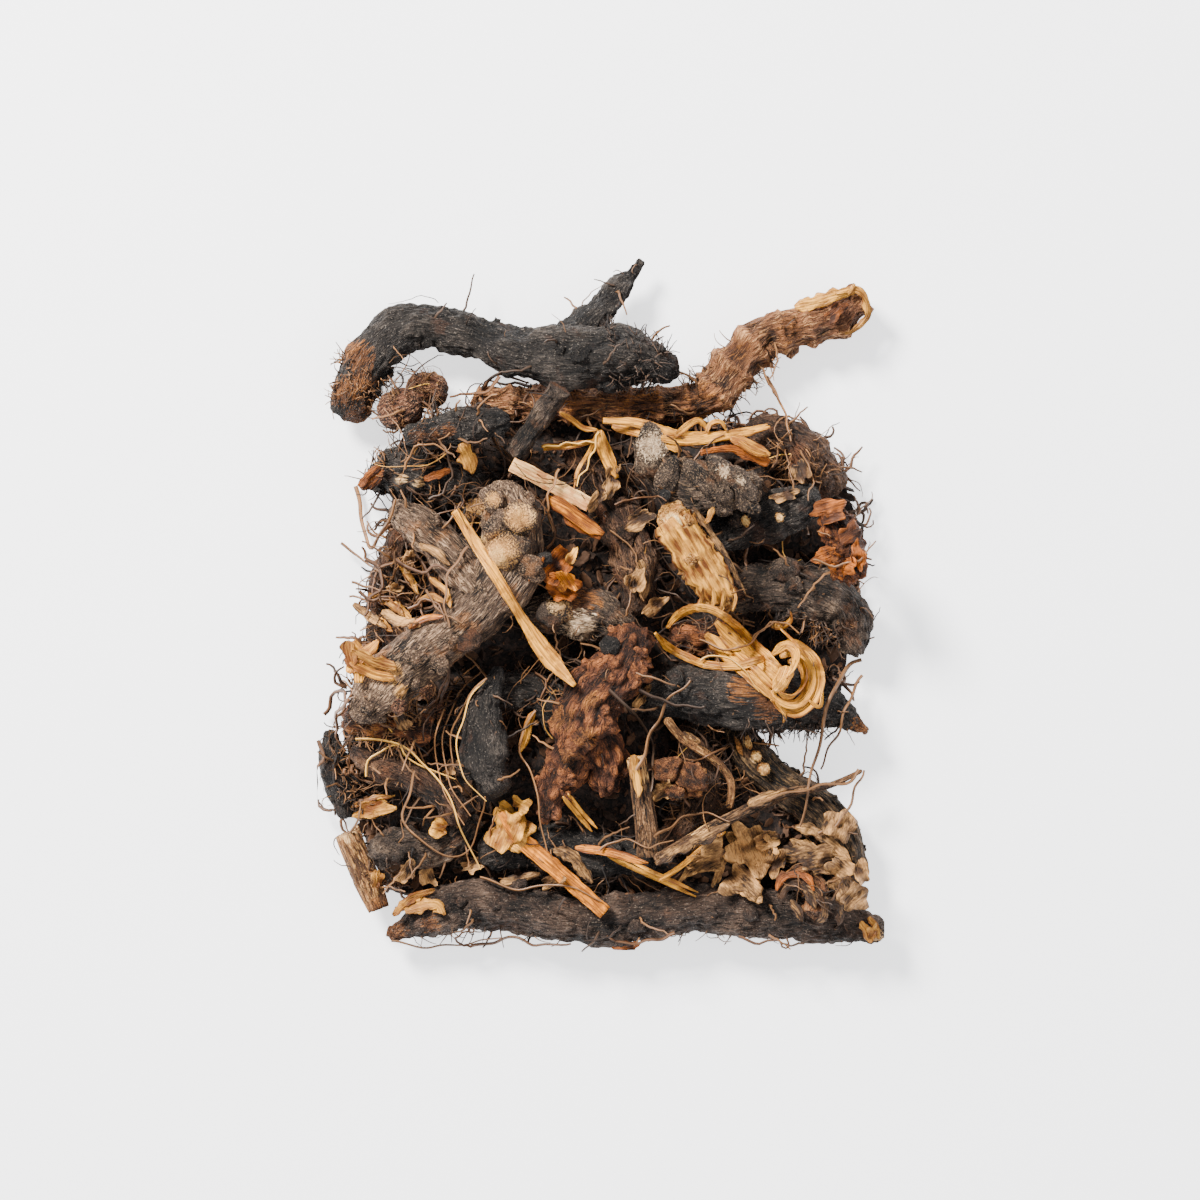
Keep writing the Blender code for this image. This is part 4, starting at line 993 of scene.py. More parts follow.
def bark_material(name, look, groups):
    """Bark with painted shade towards its furrows and a paler, fibrous ridge colour that is partly painted highlight,
    patched and dusted with soil.
    """
    made, tree, shader = new_material(name)
    fibre, crack, patch, speck = effects(tree, groups, 6.0, 6.0, look.cover, 0.42, look.dust)
    relief = attribute(tree, "relief")
    grit = cloud(tree, attribute(tree, "grain", "Vector"), 3.6, 2.0, Roughness=0.7)
    rough = ramp(tree, attribute(tree, "pale"), 0.1, 0.5, 1.0, 0.4)
    streak = weigh(tree, centred(tree, grit), 1.2, times(tree, centred(tree, fibre), look.fibre))
    ridge_and_highlight_share = weigh(tree, ramp(tree, relief, 0.44, 0.8), 0.75, times(tree, streak, rough))
    ridge_and_highlight_share = weigh(tree, calc(tree, "SUBTRACT", 1.0, rough), 0.1, ridge_and_highlight_share, clamp=True)

    # Painted shade and highlight: the deep colour where the relief is low, the body colour between, and the ridge
    # colour, partly painted highlight, where it is high or streaked.
    def toned(deep, body, ridge):
        return blend(tree, ridge_and_highlight_share, blend(tree, ramp(tree, relief, 0.3, 0.52), deep, body), ridge)

    def masked(name, low):
        share = attribute(tree, name)
        hairs = times(tree, centred(tree, fibre), ramp(tree, share, 0.02, 0.3))
        return ramp(tree, weigh(tree, hairs, 0.9, share), low, low + 0.4)

    colour = toned(look.deep, look.body, look.ridge)
    for share, over in (
        (times(tree, patch, 0.75), look.patch), (masked("rust", 0.2), toned(*RUST)),
        (masked("pale", 0.15), toned(*look.pale)), (times(tree, times(tree, speck, 0.5), rough), look.dust_colour),
        (times(tree, times(tree, crack, 0.8), rough), look.deep),
    ):
        colour = blend(tree, share, colour, over)
    surface(tree, shader, colour, ramp(tree, fibre, 0.0, 1.0, min(look.rough + 0.14, 1.0), look.rough - 0.14), 0.3)
    texture = weigh(tree, grit, 0.8, calc(tree, "SUBTRACT", fibre, crack))
    bump(tree, shader, times(tree, texture, rough), 0.5, 1.0)
    return made


def strand_material(name, dark, light, rough):
    """Wiry root or straw, each strand in its own tone between dark and light."""
    made, tree, shader = new_material(name)
    along = cloud(tree, place(tree), 420.0, 2.0)
    tone = weigh(tree, centred(tree, along), 0.9, attribute(tree, "tone"), clamp=True)
    surface(tree, shader, blend(tree, tone, dark, light), ramp(tree, tone, 0.0, 1.0, rough + 0.15, rough - 0.1), 0.35)
    return made


def leaf_material(groups, name, dark, light, spots, rough, vein=0.55, stretch=22.0):
    """Dry leaf: fine parallel veins, streaks from dark to light, and brown age spots; the tone from dark to light also
    carries painted light and shade from each piece's crumples, ribs and edges.
    """
    made, tree, shader = new_material(name)
    fibre, crack, patch, _ = effects(tree, groups, stretch, 3.2, 0.6, 0.9, 0.1)
    tone = weigh(tree, centred(tree, fibre), vein, attribute(tree, "tone"), clamp=True)
    colour = blend(tree, times(tree, patch, 0.55), blend(tree, tone, dark, light), spots)
    colour = blend(tree, times(tree, crack, vein), colour, spots)
    surface(tree, shader, colour, ramp(tree, fibre, 0.0, 1.0, rough + 0.12, rough - 0.08), 0.28)
    bump(tree, shader, calc(tree, "SUBTRACT", fibre, crack), 0.24)
    return made


def mat_material(name):
    """Very dark felt of roots and soil; its near-black is partly painted shade in the deep gaps between the rhizomes.
    """
    made, tree, shader = new_material(name)
    soil = cloud(tree, place(tree), 700.0, 5.0, Roughness=0.7)
    broad = cloud(tree, place(tree), 120.0, 3.0)
    # The felt's near-black colours are partly painted shade for the deep gaps between the rhizomes.
    colour = blend(tree, ramp(tree, soil, 0.4, 0.68), (15, 10, 7), (58, 39, 27))
    colour = blend(tree, ramp(tree, broad, 0.5, 0.7, 0.0, 0.6), colour, (34, 21, 14))
    surface(tree, shader, colour, ramp(tree, soil, 0.3, 0.7, 0.98, 0.8))
    bump(tree, shader, soil, 0.6)
    return made


def crumb_material(name):
    """Dry soil and flakes, each crumb in its own tone, kept dark partly as painted shade in the gaps."""
    made, tree, shader = new_material(name)
    grit = cloud(tree, place(tree), 900.0, 3.0)
    tone = weigh(tree, centred(tree, grit), 0.7, attribute(tree, "tone"), clamp=True)
    surface(tree, shader, blend(tree, tone, (12, 8, 6), (96, 64, 40)), ramp(tree, grit, 0.2, 0.8, 0.95, 0.75))
    bump(tree, shader, grit, 0.2)
    return made


def floor_material():
    made, tree, shader = new_material("pale_floor")
    soft = cloud(tree, place(tree), 3.0, 1.0)
    tree.links.new(blend(tree, soft, (233, 233, 235), (238, 238, 240)), shader.inputs["Base Color"])
    for label, value in (
        ("Roughness", 0.9), ("Specular IOR Level", 0.1), ("Emission Color", (1.0, 1.0, 1.0, 1.0)),
        ("Emission Strength", 1.45),
    ):
        shader.inputs[label].default_value = value
    return made


# Laying out ---------------------------------------------------------------------------------------


def lay_out():
    """Lays every root and blade as the frame's solids lie, and keeps the pile as it is without its litter."""
    pile = Pile()
    pile.top[:] = MAT_FLOOR * 0.6
    lines, shells = {}, {}
    roots = [*ROOTS, *[one for one in LITTER if isinstance(one, Root)]]
    for number, root in enumerate(roots):
        if root.name == "stem_hooked":
            bare = pile.top.copy()
        step = 2.6 if root.thin else RIND_STEP
        if root.ring_gap:
            step = root.ring_gap / 2
        main = lay_root(root.route, pile, step, stiffness=60 if root.thin else 30)
        routes = [main, *[lay_root(branch, pile, step, joined=main) for branch in root.branches]]
        for line in routes:
            cover(pile, line)
        swell = None if root.thin else bark_swell(root, number)
        lines[root.name] = routes
        sides = STEM_SIDES if root.thin else RIND_SIDES
        caps, reach = ((), 0.0) if root.cut_ends else (PLAIN_CAPS, BULGE)
        shells[root.name] = [skin(line, sides, swell, caps, reach)[:2] for line in routes]
    blade_rows = {}
    for blade in [one for one in LITTER if isinstance(one, Blade)]:
        shell, blade_rows[blade.name] = ribbon(blade, pile)
        shells[blade.name] = [shell]
    rim = spread(smooth_route([(x, y, 0) for x, y in MAT_OUTLINE], 0.5, closed=True)[:, :2], MAT_SPOKES)
    shares = [1 - (1 - k / MAT_RINGS) ** 1.25 for k in range(1, MAT_RINGS + 1)]
    shells["fine_root_mat"] = [mat_shell(pile, rim, shares)]
    trees = {name: [bvh(shell) for shell in parts] for name, parts in shells.items()}
    taken = np.empty((0, 3))
    buds, rootlets = {}, {}
    for number, root in enumerate(roots):
        draw = random.Random(1000 + number)
        others = [tree for name, several in trees.items() if name != root.name for tree in several]
        buds[root.name], rootlets[root.name] = [], []
        for _ in range(root.buds):
            line = lines[root.name][0]
            for _attempt in range(12):
                k = draw.randrange(len(line))
                if line[k, 3] < LEAST_BEARER:
                    continue
                _, side, up = frames_along(line[:, :3])
                angle = draw.uniform(0.1, math.pi - 0.1)
                out = outward(angle, side[k], up[k])
                size = line[k, 3] * draw.uniform(0.32, 0.46)
                centre = line[k, :3] + out * (line[k, 3] - size * 0.25)
                if not near_something(others, centre, size + CLEAR):
                    buds[root.name].append((centre, size))
                    break
        for _attempt in range(root.rootlets * 14):
            if len(rootlets[root.name]) == root.rootlets:
                break
            line = lines[root.name][draw.randrange(len(lines[root.name]))]
            rootlet = grow_rootlet(line, draw, others, taken)
            if rootlet is not None:
                rootlets[root.name].append(rootlet)
                taken = np.vstack([taken, densely(rootlet[1:, :3], 0.6)])
    return pile, bare, rim, lines, buds, rootlets, blade_rows


# How each bark is raised, in millimetres: its lumps' height and size, its furrows' depth, width and stretch,
# and its scales' height and size
RELIEFS = {
    "black": (1.7, 6.5, 0.24, 0.8, 6.0, 0.2, 1.0), "umber": (1.7, 5.5, 0.26, 0.8, 5.0, 0.25, 1.1),
    "russet": (0.9, 4.0, 0.2, 1.3, 2.0, 0.85, 2.1), "ringed_brown": (1.3, 4.5, 0.4, 0.8, 8.0, 0.1, 1.6),
    "spotted": (0.6, 6.0, 0.45, 1.3, 14.0, 0.0, 1.6), "ash": (1.7, 5.0, 0.3, 0.9, 5.0, 0.25, 1.1),
    "grey": (1.2, 5.5, 0.25, 0.8, 9.0, 0.05, 1.5), "wool": (1.5, 4.2, 0.32, 0.9, 5.0, 0.15, 1.2),
    "coir": (0.4, 2.5, 0.3, 0.7, 6.0, 0.0, 1.2), "clay": (1.4, 2.4, 0.3, 1.1, 2.0, 0.6, 1.2),
    "wood": (0.3, 6.0, 0.3, 0.9, 18.0, 0.0, 1.6), "tan": (1.0, 4.0, 0.5, 1.3, 6.0, 0.1, 1.6),
    "amber": (1.6, 3.0, 0.6, 1.4, 3.0, 0.5, 1.8), "straw": (0.1, 5.0, 0.12, 0.6, 22.0, 0.0, 1.6),
    "felt": (1.5, 4.0, 0.3, 1.2, 1.5, 0.3, 1.1),
}
RINGS = {"ringed_brown": (0.9, 4.2)}  # height and gap of its rings, where a bark has its own

# Coloured places on a root, by square of the layout sheet, radius in squares and kind
SPOTS = {
    "stem_hooked": [(700, 706, 20, "pale"), (722, 726, 16, "pale"), (752, 766, 14, "rust"), (758, 784, 14, "rust")],
    "stem_crossing": [(690, 815, 20, "pale")],
    "rhizome_grey": [(520, 519, 15, "pale"), (474, 509, 12, "pale"), (494, 500, 8, "pale"), (500, 552, 20, "pale"),
        (392, 672, 12, "pale"), (402, 690, 8, "pale")],
    "rhizome_cut_face": [(578, 600, 24, "rust"), (560, 604, 12, "pale"), (580, 627, 19, "pale")],
    "rhizome_russet": [(563, 717, 14, "rust"), (570, 759, 12, "rust"), (590, 700, 12, "rust"),
        (585, 735, 12, "rust")],
    "rhizome_woolly": [(651, 446, 16, "pale"), (722, 472, 7, "pale"), (739, 482, 5, "pale")],
    "rhizome_spotted": [(748, 743, 5, "pale"), (757, 758, 6, "pale"), (765, 771, 6, "pale")],
    "rhizome_right_dark": [(745, 521, 5, "pale"), (779, 518, 5, "pale")],
    "rhizome_bottom": [(876, 938, 9, "pale"), (392, 935, 16, "rust"), (430, 925, 10, "rust")],
    "rhizome_pointed": [(862, 730, 14, "rust"), (768, 702, 20, "rust"), (690, 640, 20, "rust"),
        (740, 690, 14, "rust")],
    "rhizome_upturned": [(790, 330, 14, "rust"), (740, 352, 12, "rust"), (700, 400, 20, "rust"),
        (640, 398, 24, "rust"), (560, 400, 24, "rust")],
    "rhizome_arched": [(358, 356, 17, "rust"), (345, 392, 18, "rust"), (372, 408, 14, "rust"), (362, 378, 14, "rust"),
        (352, 418, 12, "rust")],
    "rhizome_fibrous": [(362, 730, 24, "rust")],
    "rhizome_left_upper": [(420, 437, 11, "rust"), (436, 439, 10, "rust"), (449, 432, 9, "rust")],
    "rhizome_left_ringed": [(358, 487, 12, "rust"), (401, 478, 5, "pale"), (420, 482, 5, "pale")],
    "husk_rolled": [(672, 524, 12, "pale"), (716, 590, 14, "rust")],
    "stem_cut": [(637, 755, 14, "pale"), (640, 775, 8, "pale")],
    "lump_crumbly": [(683, 780, 12, "rust")],
    "ear_curled": [(794, 884, 18, "rust")],
    "stem_left": [(346, 830, 14, "pale"), (380, 912, 14, "rust")],
}

# The roots whose bark looks unlike that of their kind
FINISHES = {"rhizome_bottom": "loam", "stem_cut": "driftwood", "stem_crossing": "driftwood", "stem_hooked": "wood"}

# Blades and strips on the surface, in the order in which they lie: piece, width in squares, roll, tone, route
SCRAPS = [
    ("straw", 5, 0.8, 0.85, [(563, 796), (578, 815), (592, 832)]),
    ("straw", 4, 0.8, 0.95, [(568, 793), (582, 812), (597, 829)]),
    ("straw", 5, 0.5, 0.95, [(607, 856), (650, 876), (696, 897)]),
    ("straw", 4, 0.5, 0.85, [(614, 851), (655, 872), (698, 893)]),
    ("orange", 9, 0.8, 0.7, [(575, 848), (610, 852), (648, 862)]),
    ("straw", 9, 1.4, 0.7, [(534, 712), (529, 724), (526, 740), (520, 752)]),
    ("tan", 10, 0.6, 0.7, [(632, 754), (635, 770), (639, 796)]),
    ("tan", 18, 1.0, 0.5, [(462, 444), (469, 458), (473, 474)]),
    ("amber", 10, 1.6, 0.5, [(424, 479), (438, 474), (452, 470)]),
    ("dead_leaf", 12, 1.4, 0.35, [(655, 862), (680, 846), (706, 834), (730, 822)]),
    ("straw", 6, 1.0, 0.6, [(658, 880), (682, 866), (704, 848), (726, 832)]),
    ("dead_leaf", 9, 1.0, 0.6, [(731, 846), (722, 868), (713, 888)]),
    ("dead_leaf", 12, 1.2, 0.5, [(748, 806), (770, 796), (794, 789)]),
    ("dead_leaf", 14, 1.6, 0.5, [(796, 828), (816, 832), (836, 846), (852, 864)]),
    ("straw", 9, 1.2, 0.6, [(655, 443), (668, 446), (681, 452)]),
    ("straw", 11, 1.2, 0.75, [(656, 438), (690, 441), (726, 435), (770, 427)]),
    ("straw", 7, 0.9, 0.65, [(674, 438), (690, 424), (700, 421), (708, 431)]),
    ("straw", 5, 0.9, 0.7, [(706, 433), (711, 423), (721, 422), (726, 431)]),
    ("straw", 10, 1.0, 0.6, [(612, 426), (634, 432), (658, 440)]),
    ("straw", 13, 1.4, 0.4, [(730, 438), (745, 443), (757, 449), (770, 455)]),
    ("straw", 8, 1.2, 0.25, [(738, 442), (752, 451), (768, 456)]),
    ("straw", 13, 1.4, 0.85, [(600, 430), (603, 448), (610, 464), (617, 477)]),
    ("straw", 4, 0.6, 0.6, [(598, 430), (590, 450), (578, 470), (574, 488)]),
    ("straw", 6, 0.6, 0.6, [(560, 413), (572, 420), (584, 428), (598, 430)]),
    ("straw", 7, 0.8, 0.7, [(541, 446), (566, 446), (592, 441)]),
    ("orange", 18, 1.9, 0.35, [(548, 498), (566, 508), (582, 520), (604, 534)]),
    ("tan", 6, 1.0, 0.5, [(556, 578), (566, 568), (572, 552)]),
    ("straw", 15, 1.6, 0.6, [(350, 672), (360, 658), (374, 646), (380, 640)]),
    ("tan", 15, 1.0, 0.3, [(350, 640), (352, 652), (356, 666)]),
    ("tan", 13, 1.4, 0.4, [(398, 668), (382, 664), (368, 658), (354, 650)]),
    ("straw", 10, 1.2, 0.5, [(396, 678), (378, 674), (364, 668), (352, 662)]),
    ("straw", 7, 0.8, 0.8, [(394, 602), (402, 610), (411, 619)]),
    ("straw", 6, 0.8, 0.7, [(380, 618), (386, 626), (392, 632)]),
    ("dead_leaf", 16, 1.6, 0.3, [(640, 560), (646, 580), (642, 600)]),
    ("dead_leaf", 20, 1.9, 0.3, [(770, 850), (790, 856), (812, 850)]),
    ("tan", 13, 1.0, 0.6, [(404, 911), (420, 907), (436, 905), (444, 916)]),
    ("tan", 9, 0.8, 0.4, [(392, 916), (410, 900), (434, 890)]),
    ("dead_leaf", 14, 1.8, 0.5, [(553, 850), (566, 852), (580, 866), (592, 884)]),
    ("dead_leaf", 10, 1.5, 0.5, [(500, 884), (520, 880), (540, 874)]),
    ("dead_leaf", 7, 1.6, 0.3, [(692, 508), (708, 530), (726, 558), (744, 594)]),
    ("tan", 7, 1.4, 0.8, [(704, 524), (709, 517), (712, 508)]),
    ("tan", 4, 1.0, 0.3, [(702, 588), (701, 600), (697, 611)]),
    ("tan", 4, 1.0, 0.5, [(712, 588), (713, 600), (708, 612)]),
    ("tan", 4, 1.0, 0.4, [(722, 588), (723, 600), (719, 612)]),
    ("tan", 4, 1.0, 0.6, [(733, 588), (735, 600), (731, 611)]),
    ("dead_leaf", 16, 2.4, -0.1, [(778, 898), (786, 886), (799, 884), (810, 894), (814, 908)]),
    ("dead_leaf", 11, 2.2, 0.0, [(806, 884), (822, 898), (824, 916), (816, 922)]),
    ("dead_leaf", 11, 2.2, 0.05, [(824, 896), (838, 906), (842, 920), (834, 928)]),
    ("dead_leaf", 9, 2.0, 0.1, [(790, 900), (800, 912), (802, 922)]),
    ("amber", 8, 1.4, 0.6, [(776, 890), (781, 878), (794, 873), (808, 878), (813, 890)]),
    ("tan", 9, 1.2, 0.5, [(862, 922), (868, 932), (872, 944)]),
    ("tan", 8, 1.2, 0.35, [(870, 918), (877, 928), (880, 940)]),
    ("tan", 9, 1.6, 0.4, [(368, 594), (388, 602), (404, 616)]),
    ("tan", 7, 1.2, 0.65, [(398, 564), (410, 578), (418, 594)]),
    ("dead_leaf", 12, 1.8, 0.9, [(382, 612), (400, 621), (422, 625)]),
    ("tan", 6, 1.0, 0.6, [(430, 578), (446, 590), (452, 608)]),
    ("dead_leaf", 10, 1.6, 0.8, [(352, 604), (368, 616), (386, 628)]),
    ("orange", 7, 1.6, 0.3, [(410, 628), (426, 618), (444, 616)]),
    ("dead_leaf", 8, 1.6, 0.8, [(420, 544), (436, 552), (450, 566)]),
    ("tan", 7, 1.4, 0.3, [(420, 600), (432, 596), (446, 602)]),
    ("dead_leaf", 12, 1.6, 0.2, [(846, 880), (858, 892), (866, 910)]),
    ("tan", 5, 1.0, 0.4, [(350, 808), (372, 799), (394, 797)]),
    ("tan", 15, 1.2, 0.7, [(795, 306), (815, 302), (836, 295), (854, 290)]),
    ("tan", 10, 2.2, 0.45, [(836, 292), (856, 288), (867, 297), (870, 311), (862, 325), (846, 333)]),
    ("tan", 6, 1.2, 0.6, [(848, 294), (854, 287), (856, 283)]),
    ("amber", 14, 1.9, 0.35, [(362, 488), (372, 478), (384, 470)]),
    ("amber", 9, 1.9, 0.55, [(358, 486), (370, 474), (381, 465)]),
    ("leaf_knot", 16, 0.8, 0.75, [(706, 634), (724, 650), (744, 668), (764, 686), (778, 702)]),
    ("leaf_knot", 15, 0.9, 0.9, [(716, 622), (734, 640), (754, 658), (774, 674), (786, 688)]),
    ("leaf_knot", 8, 0.6, 0.5, [(720, 636), (742, 656), (762, 675), (780, 694)]),
    ("leaf_knot", 9, 0.6, 0.6, [(655, 633), (668, 647), (686, 657), (708, 665), (734, 666), (758, 660), (780, 652)]),
    ("leaf_knot", 10, 1.0, 0.6, [(667, 628), (676, 617), (692, 609), (712, 611), (734, 625), (756, 646), (788, 676)]),
    ("leaf_knot", 13, 0.9, 0.8, [(776, 652), (792, 645), (807, 651), (817, 666), (818, 684), (811, 701), (797, 712),
        (781, 710), (770, 699)]),
    ("leaf_knot", 12, 0.9, 0.95, [(780, 657), (794, 652), (806, 661), (810, 677), (806, 693), (795, 703), (781, 701),
        (770, 690)]),
    ("leaf_knot", 10, 0.9, 0.75, [(788, 662), (798, 662), (803, 675), (799, 689), (788, 696), (776, 691)]),
    ("leaf_knot", 17, 1.3, 1.0, [(788, 666), (782, 680), (773, 692)]),
    ("leaf_knot", 10, 0.9, 0.9, [(772, 654), (785, 645), (795, 652), (793, 666), (785, 678)]),
    ("leaf_knot", 4, 0.5, 0.6, [(774, 700), (784, 714), (782, 722)]),
    ("leaf_knot", 4, 0.5, 0.7, [(808, 700), (819, 707), (822, 692)]),
    ("leaf_knot", 9, 1.6, 0.6, [(770, 622), (780, 626), (791, 619), (790, 612)]),
    ("leaf_knot", 3, 0.4, 0.4, [(780, 628), (792, 640), (808, 658)]),
]

# Broad scale leaves: finish, place and radius in squares, heading, narrowness, curl and tone
LEAVES = [
    ("dead_leaf", 750, 846, 29, 1.9, 0.8, 0.45, 0.95), ("dead_leaf", 706, 858, 27, 0.4, 0.6, 0.5, 0.6),
    ("dead_leaf", 745, 882, 21, 2.4, 0.9, 0.5, 0.45), ("dead_leaf", 816, 864, 25, 0.2, 0.7, 0.5, 0.3),
    ("dead_leaf", 843, 888, 18, 2.0, 0.8, 0.5, 0.4), ("dead_leaf", 840, 826, 20, 1.2, 0.8, 0.6, 0.4),
    ("dead_leaf", 838, 864, 16, 2.5, 0.6, 0.6, 0.5), ("dead_leaf", 690, 872, 13, 0.8, 0.5, 0.6, 0.6),
    ("dead_leaf", 776, 862, 16, 1.2, 0.7, 0.6, 0.15), ("dead_leaf", 770, 842, 13, 0.2, 0.8, 0.7, 0.5),
    ("dead_leaf", 856, 898, 15, 0.7, 0.8, 0.8, 0.35, 2.6), ("dead_leaf", 862, 872, 13, 1.9, 0.7, 0.8, 0.45, 3.0),
    ("tan", 506, 830, 25, 1.2, 0.85, 0.35, 0.6, 1.2), ("tan", 521, 806, 11, 2.6, 0.9, 0.8, 0.75, 1.6),
    ("tan", 373, 811, 19, 0.3, 0.55, 0.5, 0.5, 1.2), ("tan", 874, 932, 8, 1.0, 0.7, 0.6, 0.45, 0.7),
    ("amber", 552, 566, 19, 0.8, 0.9, 1.1, 0.45, 1.0), ("amber", 564, 586, 19, 2.8, 0.85, 0.8, 0.75, 1.2),
    ("orange", 566, 582, 12, 2.2, 0.7, 0.7, 0.6, 2.0), ("tan", 572, 556, 11, 1.1, 0.4, 0.7, 0.75, 1.8),
    # The amber leaf at 836, 311 with tone -0.1 is a dark sheet laid in the hollow inside the upturned rhizome's sheath
    # loop: painted shade.
    ("amber", 836, 311, 12, 0.7, 0.6, 0.9, -0.1), ("dead_leaf", 407, 872, 12, 1.0, 0.8, 0.8, 0.5),
    ("dead_leaf", 428, 878, 11, 2.0, 0.8, 0.8, 0.6), ("dead_leaf", 470, 868, 13, 0.3, 0.6, 0.8, 0.3),
    ("tan", 376, 880, 12, 1.4, 0.5, 0.7, 0.2), ("dead_leaf", 636, 580, 14, 1.1, 0.7, 0.9, 0.4, 1.2),
    ("amber", 826, 512, 17, 0.3, 0.7, 0.6, 0.3), ("amber", 848, 534, 15, 0.6, 0.8, 0.6, 0.1),
    ("amber", 824, 556, 13, 0.4, 0.7, 1.1, 0.65), ("amber", 840, 566, 14, 2.6, 0.7, 1.2, 0.85),
    ("amber", 855, 556, 14, 1.7, 0.5, 1.2, 0.75), ("amber", 627, 949, 12, 0.2, 0.7, 0.6, 0.5),
    ("dead_leaf", 664, 790, 12, 0.6, 0.8, 0.8, 0.5), ("dead_leaf", 596, 500, 14, 0.9, 0.5, 0.9, 0.3),
    ("dead_leaf", 612, 480, 17, 1.3, 0.5, 0.6, 0.35), ("dead_leaf", 640, 520, 15, 0.5, 0.6, 0.8, 0.2),
    ("dead_leaf", 410, 560, 13, 1.3, 0.5, 0.9, 0.35), ("dead_leaf", 392, 588, 12, 0.2, 0.4, 0.9, 0.5),
    ("dead_leaf", 655, 605, 14, 0.7, 0.6, 0.8, 0.3), ("dead_leaf", 800, 470, 14, 1.8, 0.6, 0.8, 0.2),
    ("dead_leaf", 784, 496, 13, 0.3, 0.5, 0.8, 0.25), ("dead_leaf", 552, 880, 14, 0.5, 0.5, 0.8, 0.3),
    ("dead_leaf", 450, 770, 12, 1.1, 0.5, 0.9, 0.25), ("dead_leaf", 404, 720, 12, 2.1, 0.6, 0.9, 0.3),
    ("dead_leaf", 640, 700, 14, 1.0, 0.4, 0.9, 0.25), ("dead_leaf", 690, 740, 13, 2.4, 0.4, 0.9, 0.25),
]

# Small nuts and knobs: bark, place and radius in squares, and how far they sink in
KNOBS = [
    ("grey", 520, 519, 17, 0.6), ("grey", 474, 509, 12, 0.6, 1.4, 0.6), ("grey", 494, 500, 12, 0.6, 1.3, 2.0),
    ("grey", 497, 526, 12, 0.7, 1.3, 1.0), ("grey", 508, 549, 20, 0.9, 1.3, 0.8),
    ("grey", 530, 566, 13, 0.9, 1.4, -0.8), ("wool", 651, 450, 14, 0.8, 2.0, 1.5),
    ("wool", 723, 474, 11, 0.85, 2.2, -0.8), ("wool", 702, 482, 11, 0.9, 2.2, -0.9),
    ("wool", 741, 484, 10, 0.85, 2.2, -0.8), ("wool", 668, 478, 11, 0.9, 2.0, 1.2),
    ("wool", 744, 502, 9, 0.9, 2.2, -0.6), ("coir", 427, 694, 9, 0.3), ("coir", 438, 712, 8, 0.3),
    ("coir", 447, 696, 8, 0.3), ("coir", 400, 706, 8, 0.3), ("clay", 668, 768, 12, 0.4, 1.3, 0.5),
    ("clay", 692, 778, 13, 0.5, 1.3, -0.5), ("clay", 676, 792, 9, 0.4), ("black", 610, 645, 10, 0.9),
    ("black", 664, 496, 6, 0.6), ("umber", 440, 868, 9, 0.5), ("black", 545, 560, 8, 0.4),
    ("tan", 748, 742, 4, 0.2, 2.0, -1.2), ("tan", 739, 746, 3, 0.2, 3.2, -1.2), ("tan", 757, 757, 5, 0.2, 1.3, -1.2),
    ("tan", 764, 770, 6, 0.2, 1.2, -1.2), ("tan", 745, 521, 4, 0.2, 1.6, -1.2), ("tan", 779, 518, 3, 0.2, 1.8, -0.8),
    ("ash", 735, 520, 9, 0.6), ("ash", 784, 570, 12, 0.8, 1.4, 0.3), ("umber", 470, 640, 10, 0.6, 1.4, 0.8),
    ("ash", 556, 612, 14, 0.7, 1.4, 0.4),
]

# The share of the usual hairs on the roots whose bark shows clean
HAIR_SHARES = {
    "rhizome_arched": 0.1, "rhizome_upturned": 0.12, "rhizome_grey": 0.12, "rhizome_russet": 0.1, "husk_rolled": 0.0,
    "rhizome_woolly": 0.35, "rhizome_cut_face": 0.3, "rhizome_bottom": 0.12, "rhizome_spotted": 0.1,
    "rhizome_right_dark": 0.15, "rhizome_bottle": 0.3, "bark_torn": 0.1, "stem_cut": 0.0, "stem_grey": 0.1,
    "stem_left": 0.1, "rhizome_curved": 0.3, "rhizome_lower_left": 0.3, "rhizome_pointed": 0.4,
    "rhizome_right_grey": 0.6, "lump_crumbly": 0.1,
}

